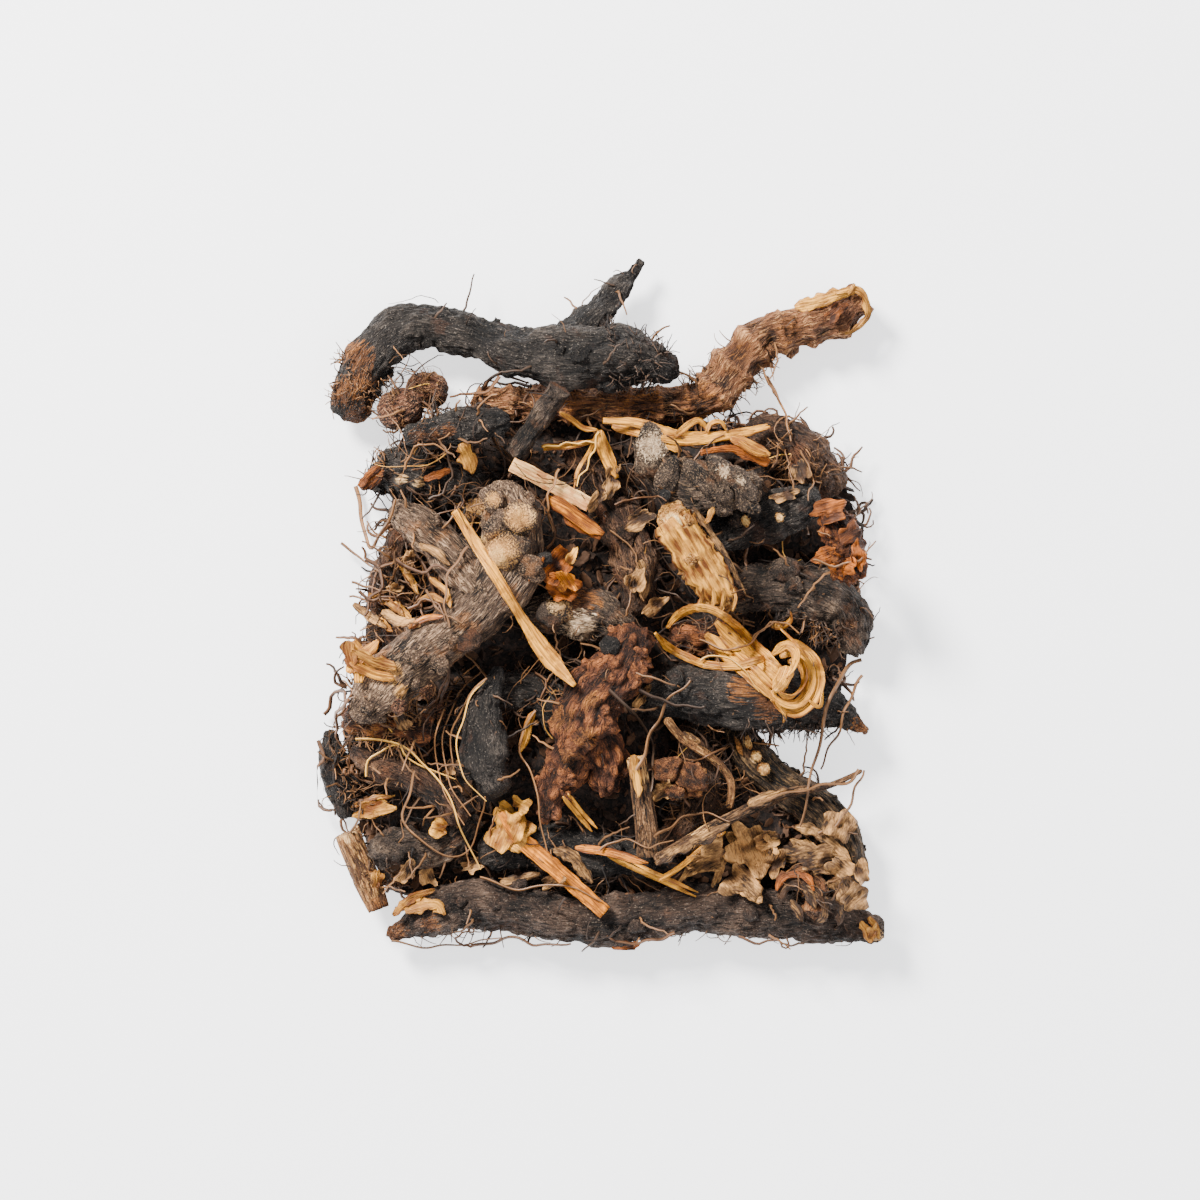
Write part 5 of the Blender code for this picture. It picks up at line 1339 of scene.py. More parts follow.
# Wiry strands that can be told apart: finish, width in squares, then the route
WIRES = [
    ("pale", 3.4, [(356, 739), (398, 743), (423, 764), (446, 790), (461, 828), (479, 869)]),
    ("pale", 3.0, [(366, 776), (368, 765), (372, 757), (387, 746), (401, 747), (408, 758), (435, 772), (454, 778)]),
    ("brown", 3.4, [(415, 771), (412, 793), (401, 817), (421, 840), (447, 856), (471, 847), (482, 814), (484, 795)]),
    ("brown", 3.0, [(487, 678), (461, 709), (451, 744), (456, 779), (478, 807)]),
    ("brown", 2.6, [(480, 672), (452, 705), (443, 744), (449, 782), (470, 815)]),
    ("brown", 2.4, [(474, 664), (446, 700), (436, 742), (441, 784), (464, 824)]),
    ("pale", 2.4, [(484, 680), (466, 709), (458, 746), (464, 776), (486, 800)]),
    ("brown", 5.0, [(865, 662), (849, 667), (834, 689), (824, 721), (816, 761), (807, 796), (800, 827)]),
    ("brown", 4.0, [(865, 677), (852, 695), (838, 734), (822, 770)]),
    ("brown", 4.4, [(861, 771), (850, 782), (816, 787), (760, 800)]),
    ("brown", 6.0, [(354, 485), (360, 516), (367, 546), (376, 541), (388, 520), (397, 501)]),
    ("brown", 4.0, [(340, 543), (362, 560), (385, 576)]),
    ("brown", 3.6, [(351, 582), (372, 588), (398, 594)]),
    ("brown", 3.0, [(348, 596), (380, 600), (412, 592)]),
    ("brown", 4.0, [(770, 375), (785, 410), (790, 440)]),
    ("brown", 3.6, [(770, 936), (784, 944), (790, 949)]),
    ("brown", 3.0, [(390, 942), (430, 950), (480, 944), (500, 938)]),
    ("umber", 4.4, [(471, 950), (489, 945), (517, 939), (536, 947), (570, 944)]),
    ("umber", 3.4, [(471, 950), (456, 944), (458, 936), (472, 932)]),
    ("umber", 4.4, [(676, 935), (650, 942), (622, 944), (606, 936)]),
    ("umber", 4.0, [(740, 938), (760, 944), (779, 940), (782, 947), (790, 950), (786, 938)]),
    ("umber", 5.4, [(322, 716), (331, 696), (341, 690), (346, 702), (338, 716)]),
    ("umber", 5.0, [(318, 742), (322, 760), (314, 776), (316, 806), (330, 812)]),
    ("umber", 4.6, [(352, 700), (338, 712), (336, 738), (344, 752)]),
    ("umber", 5.0, [(366, 560), (378, 566), (382, 584), (370, 600), (364, 616)]),
    ("umber", 4.6, [(360, 592), (372, 600), (396, 596), (420, 606)]),
    ("umber", 5.4, [(396, 560), (420, 572), (440, 566), (452, 574)]),
    ("umber", 4.6, [(410, 610), (424, 600), (440, 604), (446, 620)]),
    ("brown", 3.4, [(536, 711), (518, 747), (532, 773), (539, 808), (546, 850)]),
    ("brown", 5.0, [(637, 770), (648, 740), (668, 700), (690, 680)]),
    ("dark", 4.4, [(611, 690), (640, 720), (654, 752), (650, 790)]),
    ("dark", 5.0, [(640, 690), (676, 704), (704, 706)]),
    ("pale", 3.4, [(543, 447), (570, 443), (597, 442)]),
    ("pale", 3.0, [(599, 432), (590, 460), (576, 485)]),
    ("brown", 4.0, [(470, 548), (452, 570), (446, 600), (450, 626)]),
    ("brown", 3.4, [(428, 590), (440, 610), (462, 622)]),
    ("brown", 4.6, [(820, 835), (842, 820), (852, 800), (864, 770)]),
    ("brown", 3.4, [(812, 560), (836, 566), (862, 556), (872, 540)]),
    ("brown", 3.0, [(800, 450), (812, 478), (806, 500)]),
    ("brown", 4.0, [(655, 836), (676, 822), (700, 812), (728, 820)]),
    ("brown", 3.4, [(600, 850), (622, 838), (650, 846), (672, 838)]),
    ("brown", 3.4, [(480, 878), (520, 890), (560, 884), (600, 900)]),
    ("brown", 3.4, [(700, 640), (730, 650), (752, 640), (772, 622)]),
    ("pale", 3.0, [(700, 660), (720, 655), (742, 668), (757, 690)]),
    ("brown", 3.0, [(752, 640), (766, 626), (784, 622), (798, 632)]),
    ("brown", 3.4, [(406, 470), (412, 452), (430, 444), (448, 452)]),
    ("dark", 4.0, [(430, 500), (444, 490), (452, 472), (446, 452)]),
    ("brown", 3.6, [(560, 470), (548, 500), (552, 530)]),
    ("brown", 3.0, [(610, 530), (632, 548), (640, 572)]),
]

# Making the pieces ---------------------------------------------------------------------------------

LEAF_LOOKS = {
    "straw": ("dry_straw", (148, 88, 34), (252, 176, 62), (124, 73, 30), 0.36, 0.7),
    "amber": ("amber_leaf", (46, 24, 13), (186, 100, 28), (82, 44, 22), 0.6, 0.45, 9.0),
    "pinewood": ("pinkish_strip", (216, 132, 76), (255, 206, 134), (196, 112, 60), 0.45),
    "orange": ("orange_strip", (108, 54, 18), (248, 150, 38), (106, 55, 20), 0.42, 0.7),
    "dead_leaf": ("dead_leaf", (42, 28, 18), (210, 154, 92), (78, 52, 33), 0.6, 0.5, 5.0),
    "tan": ("tan_scale", (104, 57, 22), (255, 182, 76), (122, 70, 28), 0.45, 0.4, 12.0),
}
WIRE_LOOKS = {
    "dark": ("dark_rootlet", (22, 16, 13), (82, 62, 48), 0.6),
    "brown": ("brown_rootlet", (34, 22, 14), (146, 102, 64), 0.5),
    "umber": ("umber_rootlet", (24, 16, 11), (112, 76, 50), 0.55),
    "pale": ("straw_rootlet", (140, 90, 36), (250, 190, 92), 0.42),
}
groups = {"grain_lines": grain_lines_group(), "weather": weather_group()}
barks = {name: bark_material("bark_" + name, look, groups) for name, look in BARK_LOOKS.items()}
barks["felt"] = mat_material("root_felt")
leaves = {kind: leaf_material(groups, *look) for kind, look in LEAF_LOOKS.items()}
wires = {kind: strand_material(*look) for kind, look in WIRE_LOOKS.items()}
relief, strands, crumbs = relief_tree(), strand_tree(), crumb_tree()
collection = bpy.context.scene.collection


def new_object(name, data):
    made = bpy.data.objects.new(name, data)
    collection.objects.link(made)
    return made


def built(name, shell):
    return new_object(name, shell.mesh(name))


def look_up(values, x, y):
    """The height map's value at each x and y."""
    cells = (
        np.clip(((at - axis[0]) / GROWTH_CELL).round().astype(int), 0, len(axis) - 1)
        for at, axis in ((x, pile.axis_x), (y, pile.axis_y))
    )
    return values[tuple(cells)]


def blurred(values, cells):
    """The height map averaged over a square, twice."""
    for _ in range(2):
        for axis in (0, 1):
            margins = [(cells, cells) if a == axis else (0, 0) for a in (0, 1)]
            sums = np.insert(np.cumsum(np.pad(values, margins, mode="edge"), axis=axis), 0, 0, axis=axis)
            count = values.shape[axis]
            ahead, behind = (np.take(sums, np.arange(at, at + count), axis=axis) for at in (2 * cells, 0))
            values = (ahead - behind) / (2 * cells)
    return values


pile, bare, rim, lines, buds, rootlets, blade_rows = lay_out()
pile.top = bare
for name in ("stem_hooked", "stem_crossing"):
    cover(pile, lines[name][0])
low, high = (np.array(corner) / MM for corner in cad_box)
roots = [*ROOTS, *[one for one in LITTER if isinstance(one, Root)]]


def spots_of(name):
    return [(*plan(x, y), radius / SQUARES, kind) for x, y, radius, kind in SPOTS.get(name, [])]


def dress_root(number, root):
    """The finer body of one rhizome, stem or tuber with its branches and buds."""
    shell, spots, offset = Shell(), spots_of(root.name), 90.0 * number  # the offset gives each root its own grain
    swell = None if root.thin else bark_swell(root, number)
    for index, line in enumerate(lines[root.name]):
        if root.name == "husk_rolled":
            line = line * (1, 1, 1, HUSK_CORE)
        around = int(np.clip(2 * math.pi * line[:, 3].mean() / FINE_RING, 14, 84))
        step = 0.9 if root.thin else 0.6
        add_skin(shell, line, swell, around, step, not root.cut_ends, spots, offset + 30 * index)
    for centre, size in buds[root.name]:
        add_ball(shell, centre, size * 1.05, offset=offset, spots=spots)
    draw = random.Random(500 + number)
    for line in lines[root.name] if not root.thin else []:
        rows = finely(line, 0.8)
        _, side, up = frames_along(rows[:, :3])
        for _ in range(int(lengths_along(line)[-1] / WART_GAP)):
            k = draw.randrange(len(rows))
            angle, size = draw.uniform(-0.3, math.pi + 0.3), rows[k, 3] * draw.uniform(0.18, 0.42)
            centre = rows[k, :3] + outward(angle, side[k], up[k]) * (rows[k, 3] - size * draw.uniform(0.4, 0.8))
            add_ball(shell, centre, size, offset=offset, rows=6, around=12, spots=spots)
    made = built(root.name + "_bark", shell)
    size = min(1.0, np.mean([line[:, 3].mean() for line in lines[root.name]]) / 4)
    return raise_bark(made, root.bark, size, number, root.ring_gap, FINISHES.get(root.name))


def raise_bark(made, bark, size, seed, ring_gap=0.0, finish=None):
    """Works the bark's own relief into the skin, lower on a thin root."""
    lump, lump_size, furrow, furrow_width, stretch, scale, scale_size = RELIEFS[bark]
    ring, gap = RINGS.get(bark, (0.5 if ring_gap else 0.0, 4.0))
    return run_tree(made, relief, {
        "Lump Height": lump * size, "Lump Size": lump_size, "Furrow Depth": furrow * size,
        "Furrow Width": furrow_width, "Furrow Stretch": stretch, "Scale Height": scale * size,
        "Scale Size": scale_size, "Ring Height": ring, "Ring Gap": ring_gap or gap, "Seed": float(seed),
        "Material": barks[finish or bark],
    })


def finish_piece(made, slot, *nodes):
    """Keeps the piece inside the frame's box, gives it its body, and hides the nodes that it replaces. Its slot is not
    used.
    """
    corners = np.empty(len(made.data.vertices) * 3)
    made.data.vertices.foreach_get("co", corners)
    corners = np.clip(corners.reshape(-1, 3), low * MM + BOX_MARGIN, high * MM - BOX_MARGIN)
    made.data.vertices.foreach_set("co", corners.ravel())
    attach(made, "root")
    if nodes:
        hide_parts(*nodes)


for number, root in enumerate(roots):
    if not root.name.startswith("leaf_knot"):
        finish_piece(dress_root(number, root), root.bark, root.name)

STEEPEST = 0.9  # how steeply a dry leaf bends down over what carries it
STEEPEST_KNOT = 3.0  # the same for the stiff straw of the knot
LEAF_LEVEL, STRIP_LEVEL = 0.97, 0.95  # how near the tangle's top the leaves and the strips lie
clean = np.zeros(pile.top.shape, bool)  # where no strand lies on top
cap = blurred(pile.top, 12) * 1.02  # how high the tangle reaches


def rest_there(x, y, height, radius, bare_radius):
    """Raises the pile where something lies, and keeps the strands off it."""
    pile.add_disc(x, y, height, radius)
    i, j, _ = pile.disc(x, y, bare_radius)
    clean[i, j] = True


def add_leaf(shell, x, y, size, heading, narrow, curl, tone, seed, lift=0.5):
    """A crumpled leaf with an uneven edge, which follows what it lies on and lifts at its rim; its tone carries painted
    light and shade.
    """
    spokes, rings = 28, 7
    phase = random.Random(seed).uniform(0, 50)
    ground = np.maximum(blurred(pile.top, 2), cap * LEAF_LEVEL)
    angles = np.linspace(0, 2 * math.pi, spokes, endpoint=False)
    wavy = [noise.noise(Vector((math.cos(a) * 1.3, math.sin(a) * 1.3, phase))) for a in angles]
    edge = 0.88 + 0.75 * np.array(wavy)
    edge += 0.28 * curl * (1 - abs(np.sin(2.5 * angles + phase))) ** 2
    flat = [(0.0, 0.0)]
    for ring in range(1, rings + 1):
        reach = edge * size * ring / rings
        flat += list(zip(reach * np.cos(angles), reach * np.sin(angles) * narrow))
    flat = np.array(flat)
    c, s = math.cos(heading), math.sin(heading)
    turned = flat @ np.array([[c, s], [-s, c]])
    place_x, place_y = x + turned[:, 0], y + turned[:, 1]
    crumple = np.array([noise.noise(Vector((*(point * 0.5), phase + 9))) for point in turned])
    around = np.arctan2(flat[:, 1], flat[:, 0])
    rim = np.hypot(flat[:, 0], flat[:, 1] / narrow) / size
    rise = lift + curl * size * 0.32 * rim**2 * (1 + np.sin(2 * around + phase))
    rise += crumple * size * (0.12 + 0.45 * curl)
    rise += 0.22 * size * np.minimum(rim, 1) * (1 - abs(np.sin(2.5 * around + phase)))
    ground = look_up(ground, place_x, place_y)
    highest = ground.argmax()
    away = np.hypot(place_x - place_x[highest], place_y - place_y[highest])
    ground = np.maximum(ground, ground[highest] - STEEPEST * away)
    z = ground + np.maximum(rise, 0.2)
    top = np.column_stack([place_x, place_y, np.minimum(z, high[2] - 0.5 + 0.2 * rim)])
    grain = np.column_stack([flat[:, 1], np.full(len(flat), phase), flat[:, 0]])
    under, count = top - (0, 0, LEAF_THICK), len(flat)
    one_side = [(0, 1 + i, 1 + (i + 1) % spokes) for i in range(spokes)]
    for ring in range(rings - 1):
        a, b = 1 + ring * spokes, 1 + (ring + 1) * spokes
        one_side += [(a + i, b + i, b + (i + 1) % spokes, a + (i + 1) % spokes) for i in range(spokes)]
    last = 1 + (rings - 1) * spokes
    faces = one_side + [tuple(count + i for i in face[::-1]) for face in one_side]
    for i in range(last, last + spokes):
        after = last + (i + 1 - last) % spokes
        faces.append((i, count + i, count + after, after))
    # Painted light and shade: lighter where the crumple lifts the leaf and towards its lifted rim, darker in the
    # crumple's dips, and the underside painted darker.
    shade = tone + 0.9 * crumple + 0.35 * (rim - 0.6)
    shell.add(np.vstack([top, under]), faces, np.vstack([grain, grain]), tone=np.concatenate([shade, shade - 0.2]))
    for px, py, height in zip(place_x[::3], place_y[::3], ground[::3] + 0.5):
        rest_there(px, py, height, 0.8, 0.8)


def finish_leaves(name, shell, finish, slot, *nodes):
    made = built(name, shell)
    made.data.shade_smooth()
    made.data.materials.append(leaves[finish])
    finish_piece(made, slot, *nodes)


husk = Shell()
rows = finely(lines["husk_rolled"][0], 0.4)
rows[:, 2] += rows[:, 3] * HUSK_RISE - np.clip(0.8 - lengths_along(rows) * 0.4, 0, 2)
rows[:, 3] *= HUSK_SPAN
add_strip(
    husk, rows, across=48, thick=0.45, roll=-2.6, twist=(0.1, -0.15), ribs=8, ragged=0.28, seed=7, tone=0.64,
    wave=0.4, mottle=0.95, rib=0.2,
)
finish_leaves("husk_sheet", husk, "tan", "tan")

BLADE_ROLLS = {  # how far the long leaves are rolled; the others are uneven scales
    "leaf_long": 0.5, "splinter_pink": 0.0, "bud_scale_orange": 1.8, "leaf_short": 0.9, "leaf_thin": 0.8,
    "leaf_bundle": 1.4, "leaf_tip_amber": 1.5, "sheath_orange": 0.9, "sheath_left": 1.4,
}
for number, blade in enumerate([one for one in LITTER if isinstance(one, Blade)]):
    shell = Shell()
    rows = finely(blade_rows[blade.name], 0.5)
    length = lengths_along(rows)[-1]
    if blade.name in BLADE_ROLLS:
        add_strip(
            shell, rows, 14, 0.55 if blade.bark == "pinewood" else 0.34, -BLADE_ROLLS[blade.name],
            ribs=7 if blade.name == "sheath_orange" else 4, ragged=0.4 if blade.bark == "amber" else 0.12, seed=number,
            tone=0.75, wave=0.1, mottle=0.12, rib=0.16 if blade.name == "sheath_orange" else 0.1,
        )
        for x, y, z, width in rows:
            pile.add_disc(x, y, z + 0.2, width / 2)
    else:
        heading = math.atan2(rows[-1, 1] - rows[0, 1], rows[-1, 0] - rows[0, 0])
        middle = rows[len(rows) // 2]
        add_leaf(shell, middle[0], middle[1], length / 2, heading, rows[:, 3].max() / length, 0.25, 0.7, number)
    finish = "orange" if blade.name == "sheath_orange" else blade.bark
    finish_leaves(blade.name + "_leaf", shell, finish, blade.bark, blade.name)


def lay_scrap(route, width, lift=0.25, steepest=STEEPEST):
    """Rows of a strip that lies on everything laid so far."""
    line = smooth_route([(*plan(x, y), width) for x, y in route], 0.9)
    share = np.linspace(0, 1, len(line))
    line[:, 2] *= np.clip(np.minimum(share * 5 + 0.35, (1 - share) * 4 + 0.2), 0, 1)
    need = np.array([pile.rests(x, y, max(w / 3, 0.5)) + lift for x, y, w in line])
    need = np.maximum(need, look_up(cap, line[:, 0], line[:, 1]) * STRIP_LEVEL)
    run = lengths_along(line[:, :2])
    need = (need - steepest * abs(run[:, None] - run)).max(axis=1)
    z = drape(need, 25)
    for (x, y, w), height in zip(line, z):
        rest_there(x, y, height + 0.15, max(w / 2, 0.5), w / 2)
    return np.column_stack([line[:, :2], z, line[:, 2]])


shells = {}
for number, (piece, width, roll, tone, route) in enumerate(SCRAPS):
    crumpled = piece not in ("straw", "leaf_knot", "orange")
    route = lay_scrap(route, width / SQUARES, steepest=STEEPEST_KNOT if piece == "leaf_knot" else STEEPEST)
    add_strip(
        shells.setdefault(piece, Shell()), finely(route, 0.45), 11, 0.3, roll if number % 4 == 0 else -roll,
        twist=(0.15, 0.5 if number % 2 else -0.4), ragged=0.6 if crumpled else 0.12, seed=50 + number,
        tone=tone, wave=0.4 if crumpled else 0.06, mottle=0.3 if piece in ("tan", "amber") else 0.45,
    )
for number, (finish, px, py, size, heading, narrow, curl, tone, *lift) in enumerate(LEAVES):
    add_leaf(shells[finish], *plan(px, py), size / SQUARES, heading, narrow, curl, tone, 200 + number, *lift)
for piece, shell in shells.items():
    if piece == "leaf_knot":
        finish_leaves(piece, shell, "straw", "straw", "leaf_knot_loop", "leaf_knot_strap", "leaf_knot_stem")
    else:
        finish_leaves(piece + "_scraps", shell, piece, "pinewood" if piece == "orange" else piece)

all_spots = [one for name in SPOTS for one in spots_of(name)]
for bark in sorted({knob[0] for knob in KNOBS}):
    shell = Shell()
    for number, (kind, px, py, size, sunk, *shape) in enumerate(KNOBS):
        if kind == bark:
            (x, y), size = plan(px, py), size / SQUARES
            z = pile.rests(x, y, 0.6) + size * (0.8 - 1.2 * sunk)
            add_ball(shell, (x, y, z), size, 0.8, 7.0 * number, 12, 22, all_spots, *shape)
            pile.add_ball(x, y, z, size)
    lumpy = 0.06 if bark == "tan" else 0.3
    finish_piece(raise_bark(built(bark + "_knobs", shell), bark, lumpy, 60), bark)

# Strands ------------------------------------------------------------------------------------------

bundles = {name: Strands() for name in wires}
dice = np.random.default_rng(20)
STRAND_MARGIN = 0.5


def add_strands(kind, points, radii, tones):
    """Keeps the strands that stay inside the frame's box, from points as strand, step and axis."""
    keep = ((points > low + STRAND_MARGIN) & (points < high - STRAND_MARGIN)).all(axis=(1, 2))
    for line, radius, tone in zip(points[keep], radii[keep], tones[keep]):
        bundles[kind].add(line, radius, tone)


def taper(count, steps, thickest, tip=0.35):
    """Radii that shrink from root to tip, one row for each strand."""
    size = thickest * dice.uniform(0.55, 1.0, count)
    return size[:, None] * np.linspace(1, tip, steps) ** 0.8


def wander(start, heading, steps, stride, bend):
    """Paths seen from above that curl as they go: strand, step, and x or y."""
    count = len(start)
    turn = dice.normal(0, bend, count)[:, None] + dice.normal(0, bend * 0.9, (count, steps))
    angle = heading[:, None] + np.cumsum(turn, axis=1)
    moves = np.stack([np.cos(angle), np.sin(angle)], axis=2) * (stride[:, None, None])
    return start[:, None, :] + np.cumsum(moves, axis=1)


# The frame's own thick rootlets
for root in roots:
    for rootlet in rootlets[root.name]:
        kind = "dark" if root.bark == "black" and dice.random() < 0.5 else "brown"
        fine = finely(rootlet, 1.0)
        fine[1:, :3] += dice.normal(0, 0.12, (len(fine) - 1, 3))
        bundles[kind].add(fine[:, :3], fine[:, 3] * 0.75, dice.uniform(0.2, 0.9))

# Told-apart wires
for kind, width, route in WIRES:
    line = smooth_route([(*plan(x, y), width / (2 * SQUARES)) for x, y in route], 1.0)
    need = np.array([pile.rests(x, y, 0.6) + r + 0.1 for x, y, r in line])
    z = drape(need, 50)
    share = np.linspace(0, 1, len(line))
    wobble = 0.25 * np.sin(share * 17 + width)
    points = np.column_stack([line[:, 0] + wobble, line[:, 1] - wobble, z])
    bundles[kind].add(points, line[:, 2] * (1 - 0.45 * share), dice.uniform(0.5, 0.95))

# The tangle between the rhizomes
TANGLE_FLOOR = MAT_FLOOR + 1.5
covered = blurred((pile.top > 2.5).astype(float), 4)
for name in HAIR_SHARES:
    for x, y, z, radius in np.vstack([densely(line) for line in lines[name]]):
        i, j, d2 = pile.disc(x, y, radius)
        clean[i, j] |= (d2 < radius**2) & (pile.top[i, j] < z + radius * 1.3)


def roam(count, steps, strides, bend, deep, edge, most_clean):
    """Paths that start where the clump is deep, and which of them stay on it and off what is clean."""
    start = np.column_stack([dice.uniform(low[axis], high[axis], count * 3) for axis in (0, 1)])
    start = start[look_up(covered, start[:, 0], start[:, 1]) > deep][:count]
    count = len(start)
    paths = wander(start, dice.uniform(0, 2 * math.pi, count), steps, dice.uniform(*strides, count), bend)
    x, y = paths[:, :, 0], paths[:, :, 1]
    return x, y, (look_up(covered, x, y).min(axis=1) > edge) & (look_up(clean, x, y).mean(axis=1) < most_clean)


def tangle(kind, count, steps, thickest, level, bend=0.16):
    """Strands between the rhizomes, at a share of the tangle's height."""
    x, y, held = roam(count, steps, (0.8, 1.6), bend, 0.55, 0.3, 0.35)
    count, waves = len(x), np.linspace(0, 7, steps)
    share = dice.uniform(*level, count)[:, None] + 0.12 * np.sin(waves + dice.uniform(0, 6, count)[:, None])
    points = np.stack([x, y, TANGLE_FLOOR + (look_up(cap, x, y) - TANGLE_FLOOR) * share], axis=2)[held]
    add_strands(kind, points, taper(count, steps, thickest)[held], dice.uniform(0, 1, count)[held] ** 1.5)


def lie_over(kind, count, steps, thickest, bend=0.13):
    """Strands that lie over everything."""
    x, y, held = roam(count, steps, (0.9, 1.7), bend, 0.6, 0.15, 0.15)
    points = np.stack([x, y, drape(look_up(pile.top, x, y) + 0.35, 14, ends=False)], axis=2)[held]
    add_strands(kind, points, taper(len(x), steps, thickest)[held], dice.uniform(0, 1, len(x))[held])


tangle("dark", 700, 12, 0.3, (0.3, 0.85), 0.25)
tangle("brown", 1350, 12, 0.19, (0.5, 1.0), 0.28)
tangle("umber", 900, 12, 0.55, (0.25, 0.88), 0.3)
tangle("pale", 90, 10, 0.2, (0.7, 1.0))
lie_over("brown", 330, 12, 0.17, 0.2)
lie_over("umber", 110, 12, 0.42, 0.22)
lie_over("dark", 220, 12, 0.24, 0.2)
lie_over("pale", 40, 12, 0.18)


def sprout(
    line, count, steps, reach, thickest, kind, angles=(-0.4, math.pi + 0.4), droop=0.1, bend=0.35, span=(0, 1)
):
    """Rootlets that leave a rhizome's bark and curl away."""

    def unit(vectors):
        return vectors / np.linalg.norm(vectors, axis=1)[:, None]


    rows = finely(line, 0.8)
    _, side, up = frames_along(rows[:, :3])
    tangents = np.cross(up, side)
    k = (dice.uniform(*span, count) * (len(rows) - 1)).astype(int)
    angle = dice.uniform(*angles, count)
    out = np.cos(angle)[:, None] * side[k] + np.sin(angle)[:, None] * up[k]
    heading = unit(out + tangents[k] * dice.normal(0, 0.5, count)[:, None])
    stride = dice.uniform(0.4, 1.0, count)[:, None] * reach / steps
    turn = dice.normal(0, bend, (count, 3))
    point = rows[k, :3] + out * rows[k, 3][:, None] * 0.9
    points = [point - out * rows[k, 3][:, None] * 0.12]
    for _ in range(steps):
        points.append(point)
        heading = unit(heading + turn * 0.6 + dice.normal(0, bend * 0.5, (count, 3)) - (0, 0, droop))
        point = point + heading * stride
    points = np.stack(points, axis=1)
    top = look_up(pile.top, points[:, :, 0], points[:, :, 1])
    z = points[:, :, 2]
    near = (z < top + 0.15) & (z > top - 2.2)
    near[:, :2] = False
    points[:, :, 2] = np.where(near, top + 0.2, z)
    points[:, :, 2] = np.maximum(points[:, :, 2], 0.5)
    add_strands(kind, points, taper(count, steps + 1, thickest), dice.uniform(0, 1, count))


for root in ROOTS:
    for line in lines[root.name]:
        length = lengths_along(line)[-1] * HAIR_SHARES.get(root.name, 1.0)
        kind, other = ("dark", "brown") if root.bark == "black" else ("brown", "dark")
        girth = line[:, 3].mean()
        sprout(line, int(length * 0.5) + 1, 8, 8.0, 0.24, "brown", bend=0.5)
        sprout(line, int(length * 0.45) + 1, 8, 7.0, 0.26, "dark", bend=0.5)
        sprout(line, int(length * girth * 0.42), 4, 2.2, 0.13, kind, bend=0.4, droop=0.0)
        sprout(line, int(length * girth * 0.16), 4, 2.0, 0.12, other, bend=0.4, droop=0.0)

# Where hairs are thick: root, finish, count, span along it, angles round it and reach
TUFTS = [
    ("rhizome_arched", "brown", 90, (0.0, 0.12), (-0.6, math.pi + 0.6), 4.0),
    ("rhizome_arched", "dark", 120, (0.84, 1.0), (-0.6, math.pi + 0.6), 4.5),
    ("rhizome_upturned", "brown", 60, (0.5, 0.75), (-1.2, 0.4), 6.0),
    ("rhizome_upturned", "brown", 30, (0.5, 0.7), (2.6, 4.2), 5.0),
    ("rhizome_right_grey", "dark", 150, (0.3, 1.0), (-1.4, 0.8), 7.0),
    ("rhizome_right_grey", "brown", 90, (0.6, 1.0), (-1.6, 0.6), 6.0),
    ("rhizome_fibrous", "brown", 130, (0.0, 1.0), (-0.4, math.pi + 0.4), 6.0),
    ("rhizome_pointed", "dark", 110, (0.4, 0.85), (-1.0, 0.9), 5.0),
    ("rhizome_left_dark", "brown", 80, (0.0, 1.0), (1.4, 4.4), 5.0),
    ("rhizome_left_ringed", "brown", 80, (0.0, 0.7), (1.2, 4.4), 5.0),
    ("rhizome_right_back", "brown", 100, (0.2, 1.0), (-0.8, 2.0), 6.0),
    ("rhizome_under_left", "brown", 140, (0.0, 1.0), (1.0, 4.4), 9.0),
    ("tuber_inner", "brown", 130, (0.0, 1.0), (0, 2 * math.pi), 2.2),
    ("tuber_outer", "brown", 150, (0.0, 1.0), (0, 2 * math.pi), 2.2),
    ("rhizome_bottom", "brown", 90, (0.0, 1.0), (-1.2, 0.6), 7.0),
]
for name, kind, count, span, angles, reach in TUFTS:
    thickest = 0.1 if reach < 3 else 0.24
    sprout(lines[name][0], count, 6, reach, thickest, kind, angles=angles, span=span, bend=0.22, droop=0.05)

# Curling rootlets around the mat's edge
for kind, count, thickest in (("umber", 520, 0.62), ("brown", 240, 0.26), ("dark", 160, 0.36)):
    start = rim[dice.integers(0, len(rim), count)] * dice.uniform(0.93, 1.0, count)[:, None]
    heading = np.arctan2(start[:, 1], start[:, 0]) + dice.normal(0, 1.1, count)
    paths = wander(start, heading, 9, dice.uniform(0.3, 0.9, count), 0.45)
    z = dice.uniform(1.0, 7.5, count)[:, None] + np.cumsum(dice.normal(0, 0.4, (count, 9)), axis=1)
    points = np.dstack([paths, np.maximum(z, 0.6)])
    add_strands(kind, points, taper(count, 9, thickest), dice.uniform(0, 1, count))

for kind, bundle in bundles.items():
    made = run_tree(built(kind + "_rootlets", bundle), strands, {"Sides": 3, "Material": wires[kind]})
    finish_piece(made, "straw" if kind == "pale" else "umber")

# The mat of fine roots ---------------------------------------------------------------------------


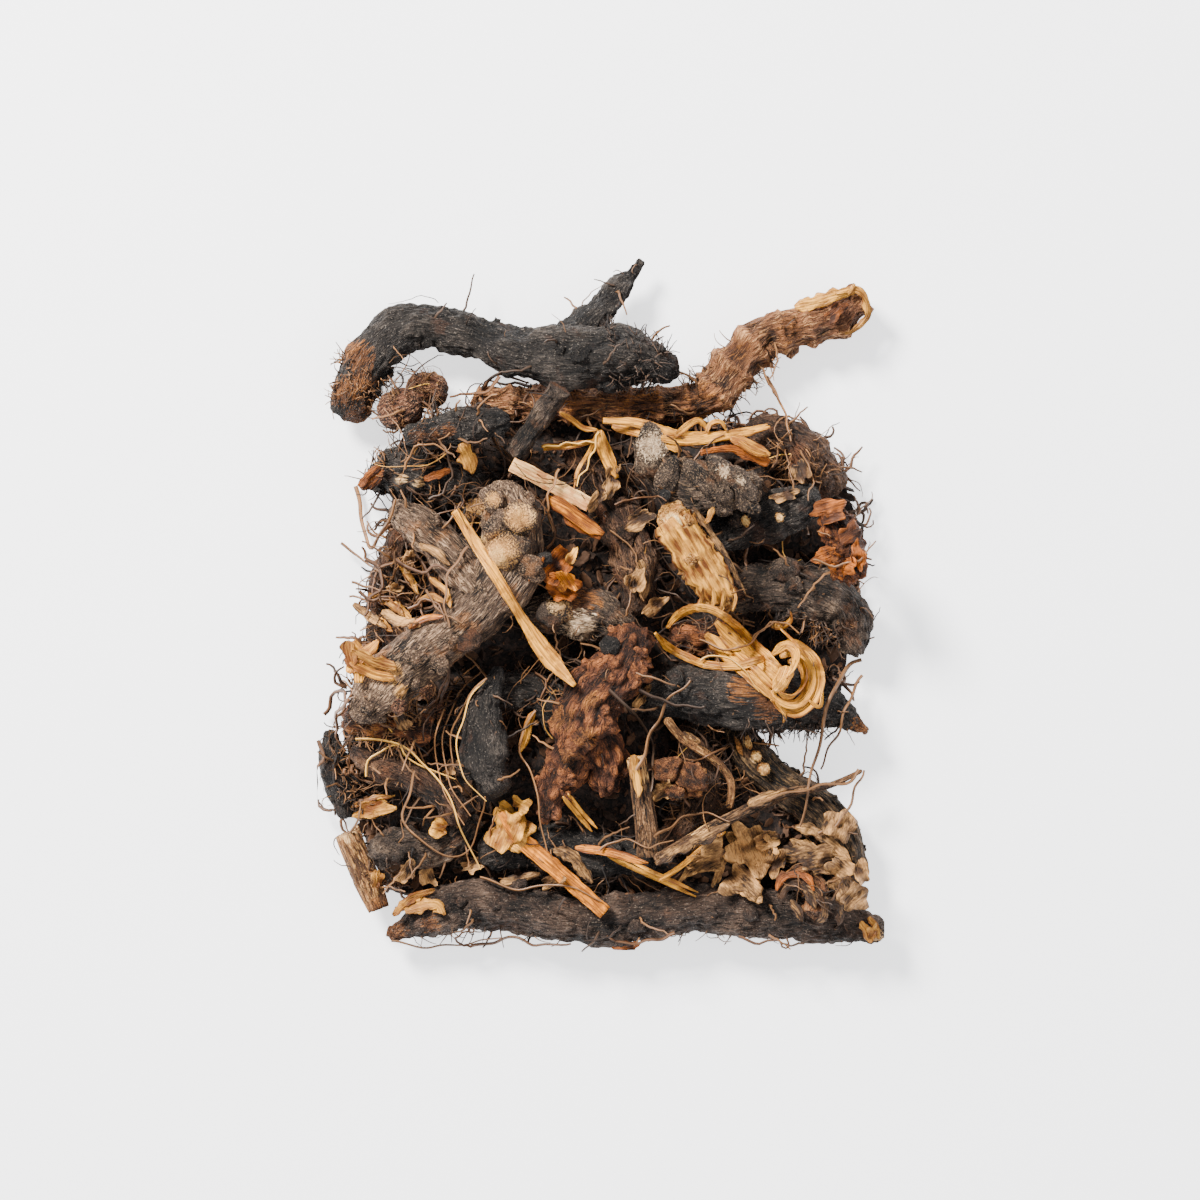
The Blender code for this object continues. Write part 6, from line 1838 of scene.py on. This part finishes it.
felt_shell = Shell()
outline = spread(np.vstack([rim, rim[:1]]), 150)
corners, faces = mat_shell(pile, outline, np.arange(1, 65) / 64)
felt_shell.add(corners, [face[::-1] for face in faces], corners, tone=0.3)
felt = raise_bark(built("fine_root_felt", felt_shell), "felt", 1.0, 0)
finish_piece(felt, "mat", "fine_root_mat")
CRUMB_INPUTS = ("Apart", "Density", "Least Size", "Largest Size", "Flatness", "Seed")
for name, *values in (
    ("soil_crumbs", 0.6, 0.2, 0.14, 0.5, 0.6, 4),
    ("bark_flakes", 1.5, 0.2, 0.5, 1.7, 0.3, 9),
):
    inputs = {**dict(zip(CRUMB_INPUTS, values)), "Material": crumb_material(name)}
    finish_piece(run_tree(new_object(name, felt.data.copy()), crumbs, inputs), "mat")

# Stage -------------------------------------------------------------------------------------------

bpy.ops.mesh.primitive_plane_add(size=3.0, location=(0, 0, -0.0002))
floor = bpy.context.object
floor.name = "pale_floor"
floor.data.materials.append(floor_material())

VIEW_WIDTH = 0.24  # metres across the picture, at the height of the clump's middle
CAMERA_HEIGHT = 1.2
MIDDLE_HEIGHT = 0.014
SENSOR = 36.0
VIEW_CENTRE = plan(600, 600)
camera = bpy.data.objects.new("camera", bpy.data.cameras.new("camera"))
camera.location = (VIEW_CENTRE[0] * MM, VIEW_CENTRE[1] * MM, CAMERA_HEIGHT)
camera.data.sensor_width = SENSOR
camera.data.lens = SENSOR * (CAMERA_HEIGHT - MIDDLE_HEIGHT) / VIEW_WIDTH
camera.data.clip_start, camera.data.clip_end = 0.01, 20.0
collection.objects.link(camera)
bpy.context.scene.camera = camera


def area_light(name, place_at, size, power, colour):
    """A round soft light that looks at the clump."""
    lamp = bpy.data.lights.new(name, "AREA")
    lamp.shape, lamp.size, lamp.energy, lamp.color = "DISK", size, power, colour
    made = new_object(name, lamp)
    made.location = place_at
    made.rotation_euler = (Vector((0, 0, 0.01)) - Vector(place_at)).to_track_quat("-Z", "Y").to_euler()


area_light("key_light", (-0.5, 0.6, 0.75), 0.3, 44.0, (1.0, 0.98, 0.95))
area_light("fill_light", (0.6, -0.3, 0.9), 0.9, 5.0, (0.95, 0.97, 1.0))
world = bpy.data.worlds.new("soft_room")
world.use_nodes = True
background = world.node_tree.nodes["Background"].inputs
background["Color"].default_value = (0.93, 0.95, 1.0, 1)
background["Strength"].default_value = 0.94
bpy.context.scene.world = world
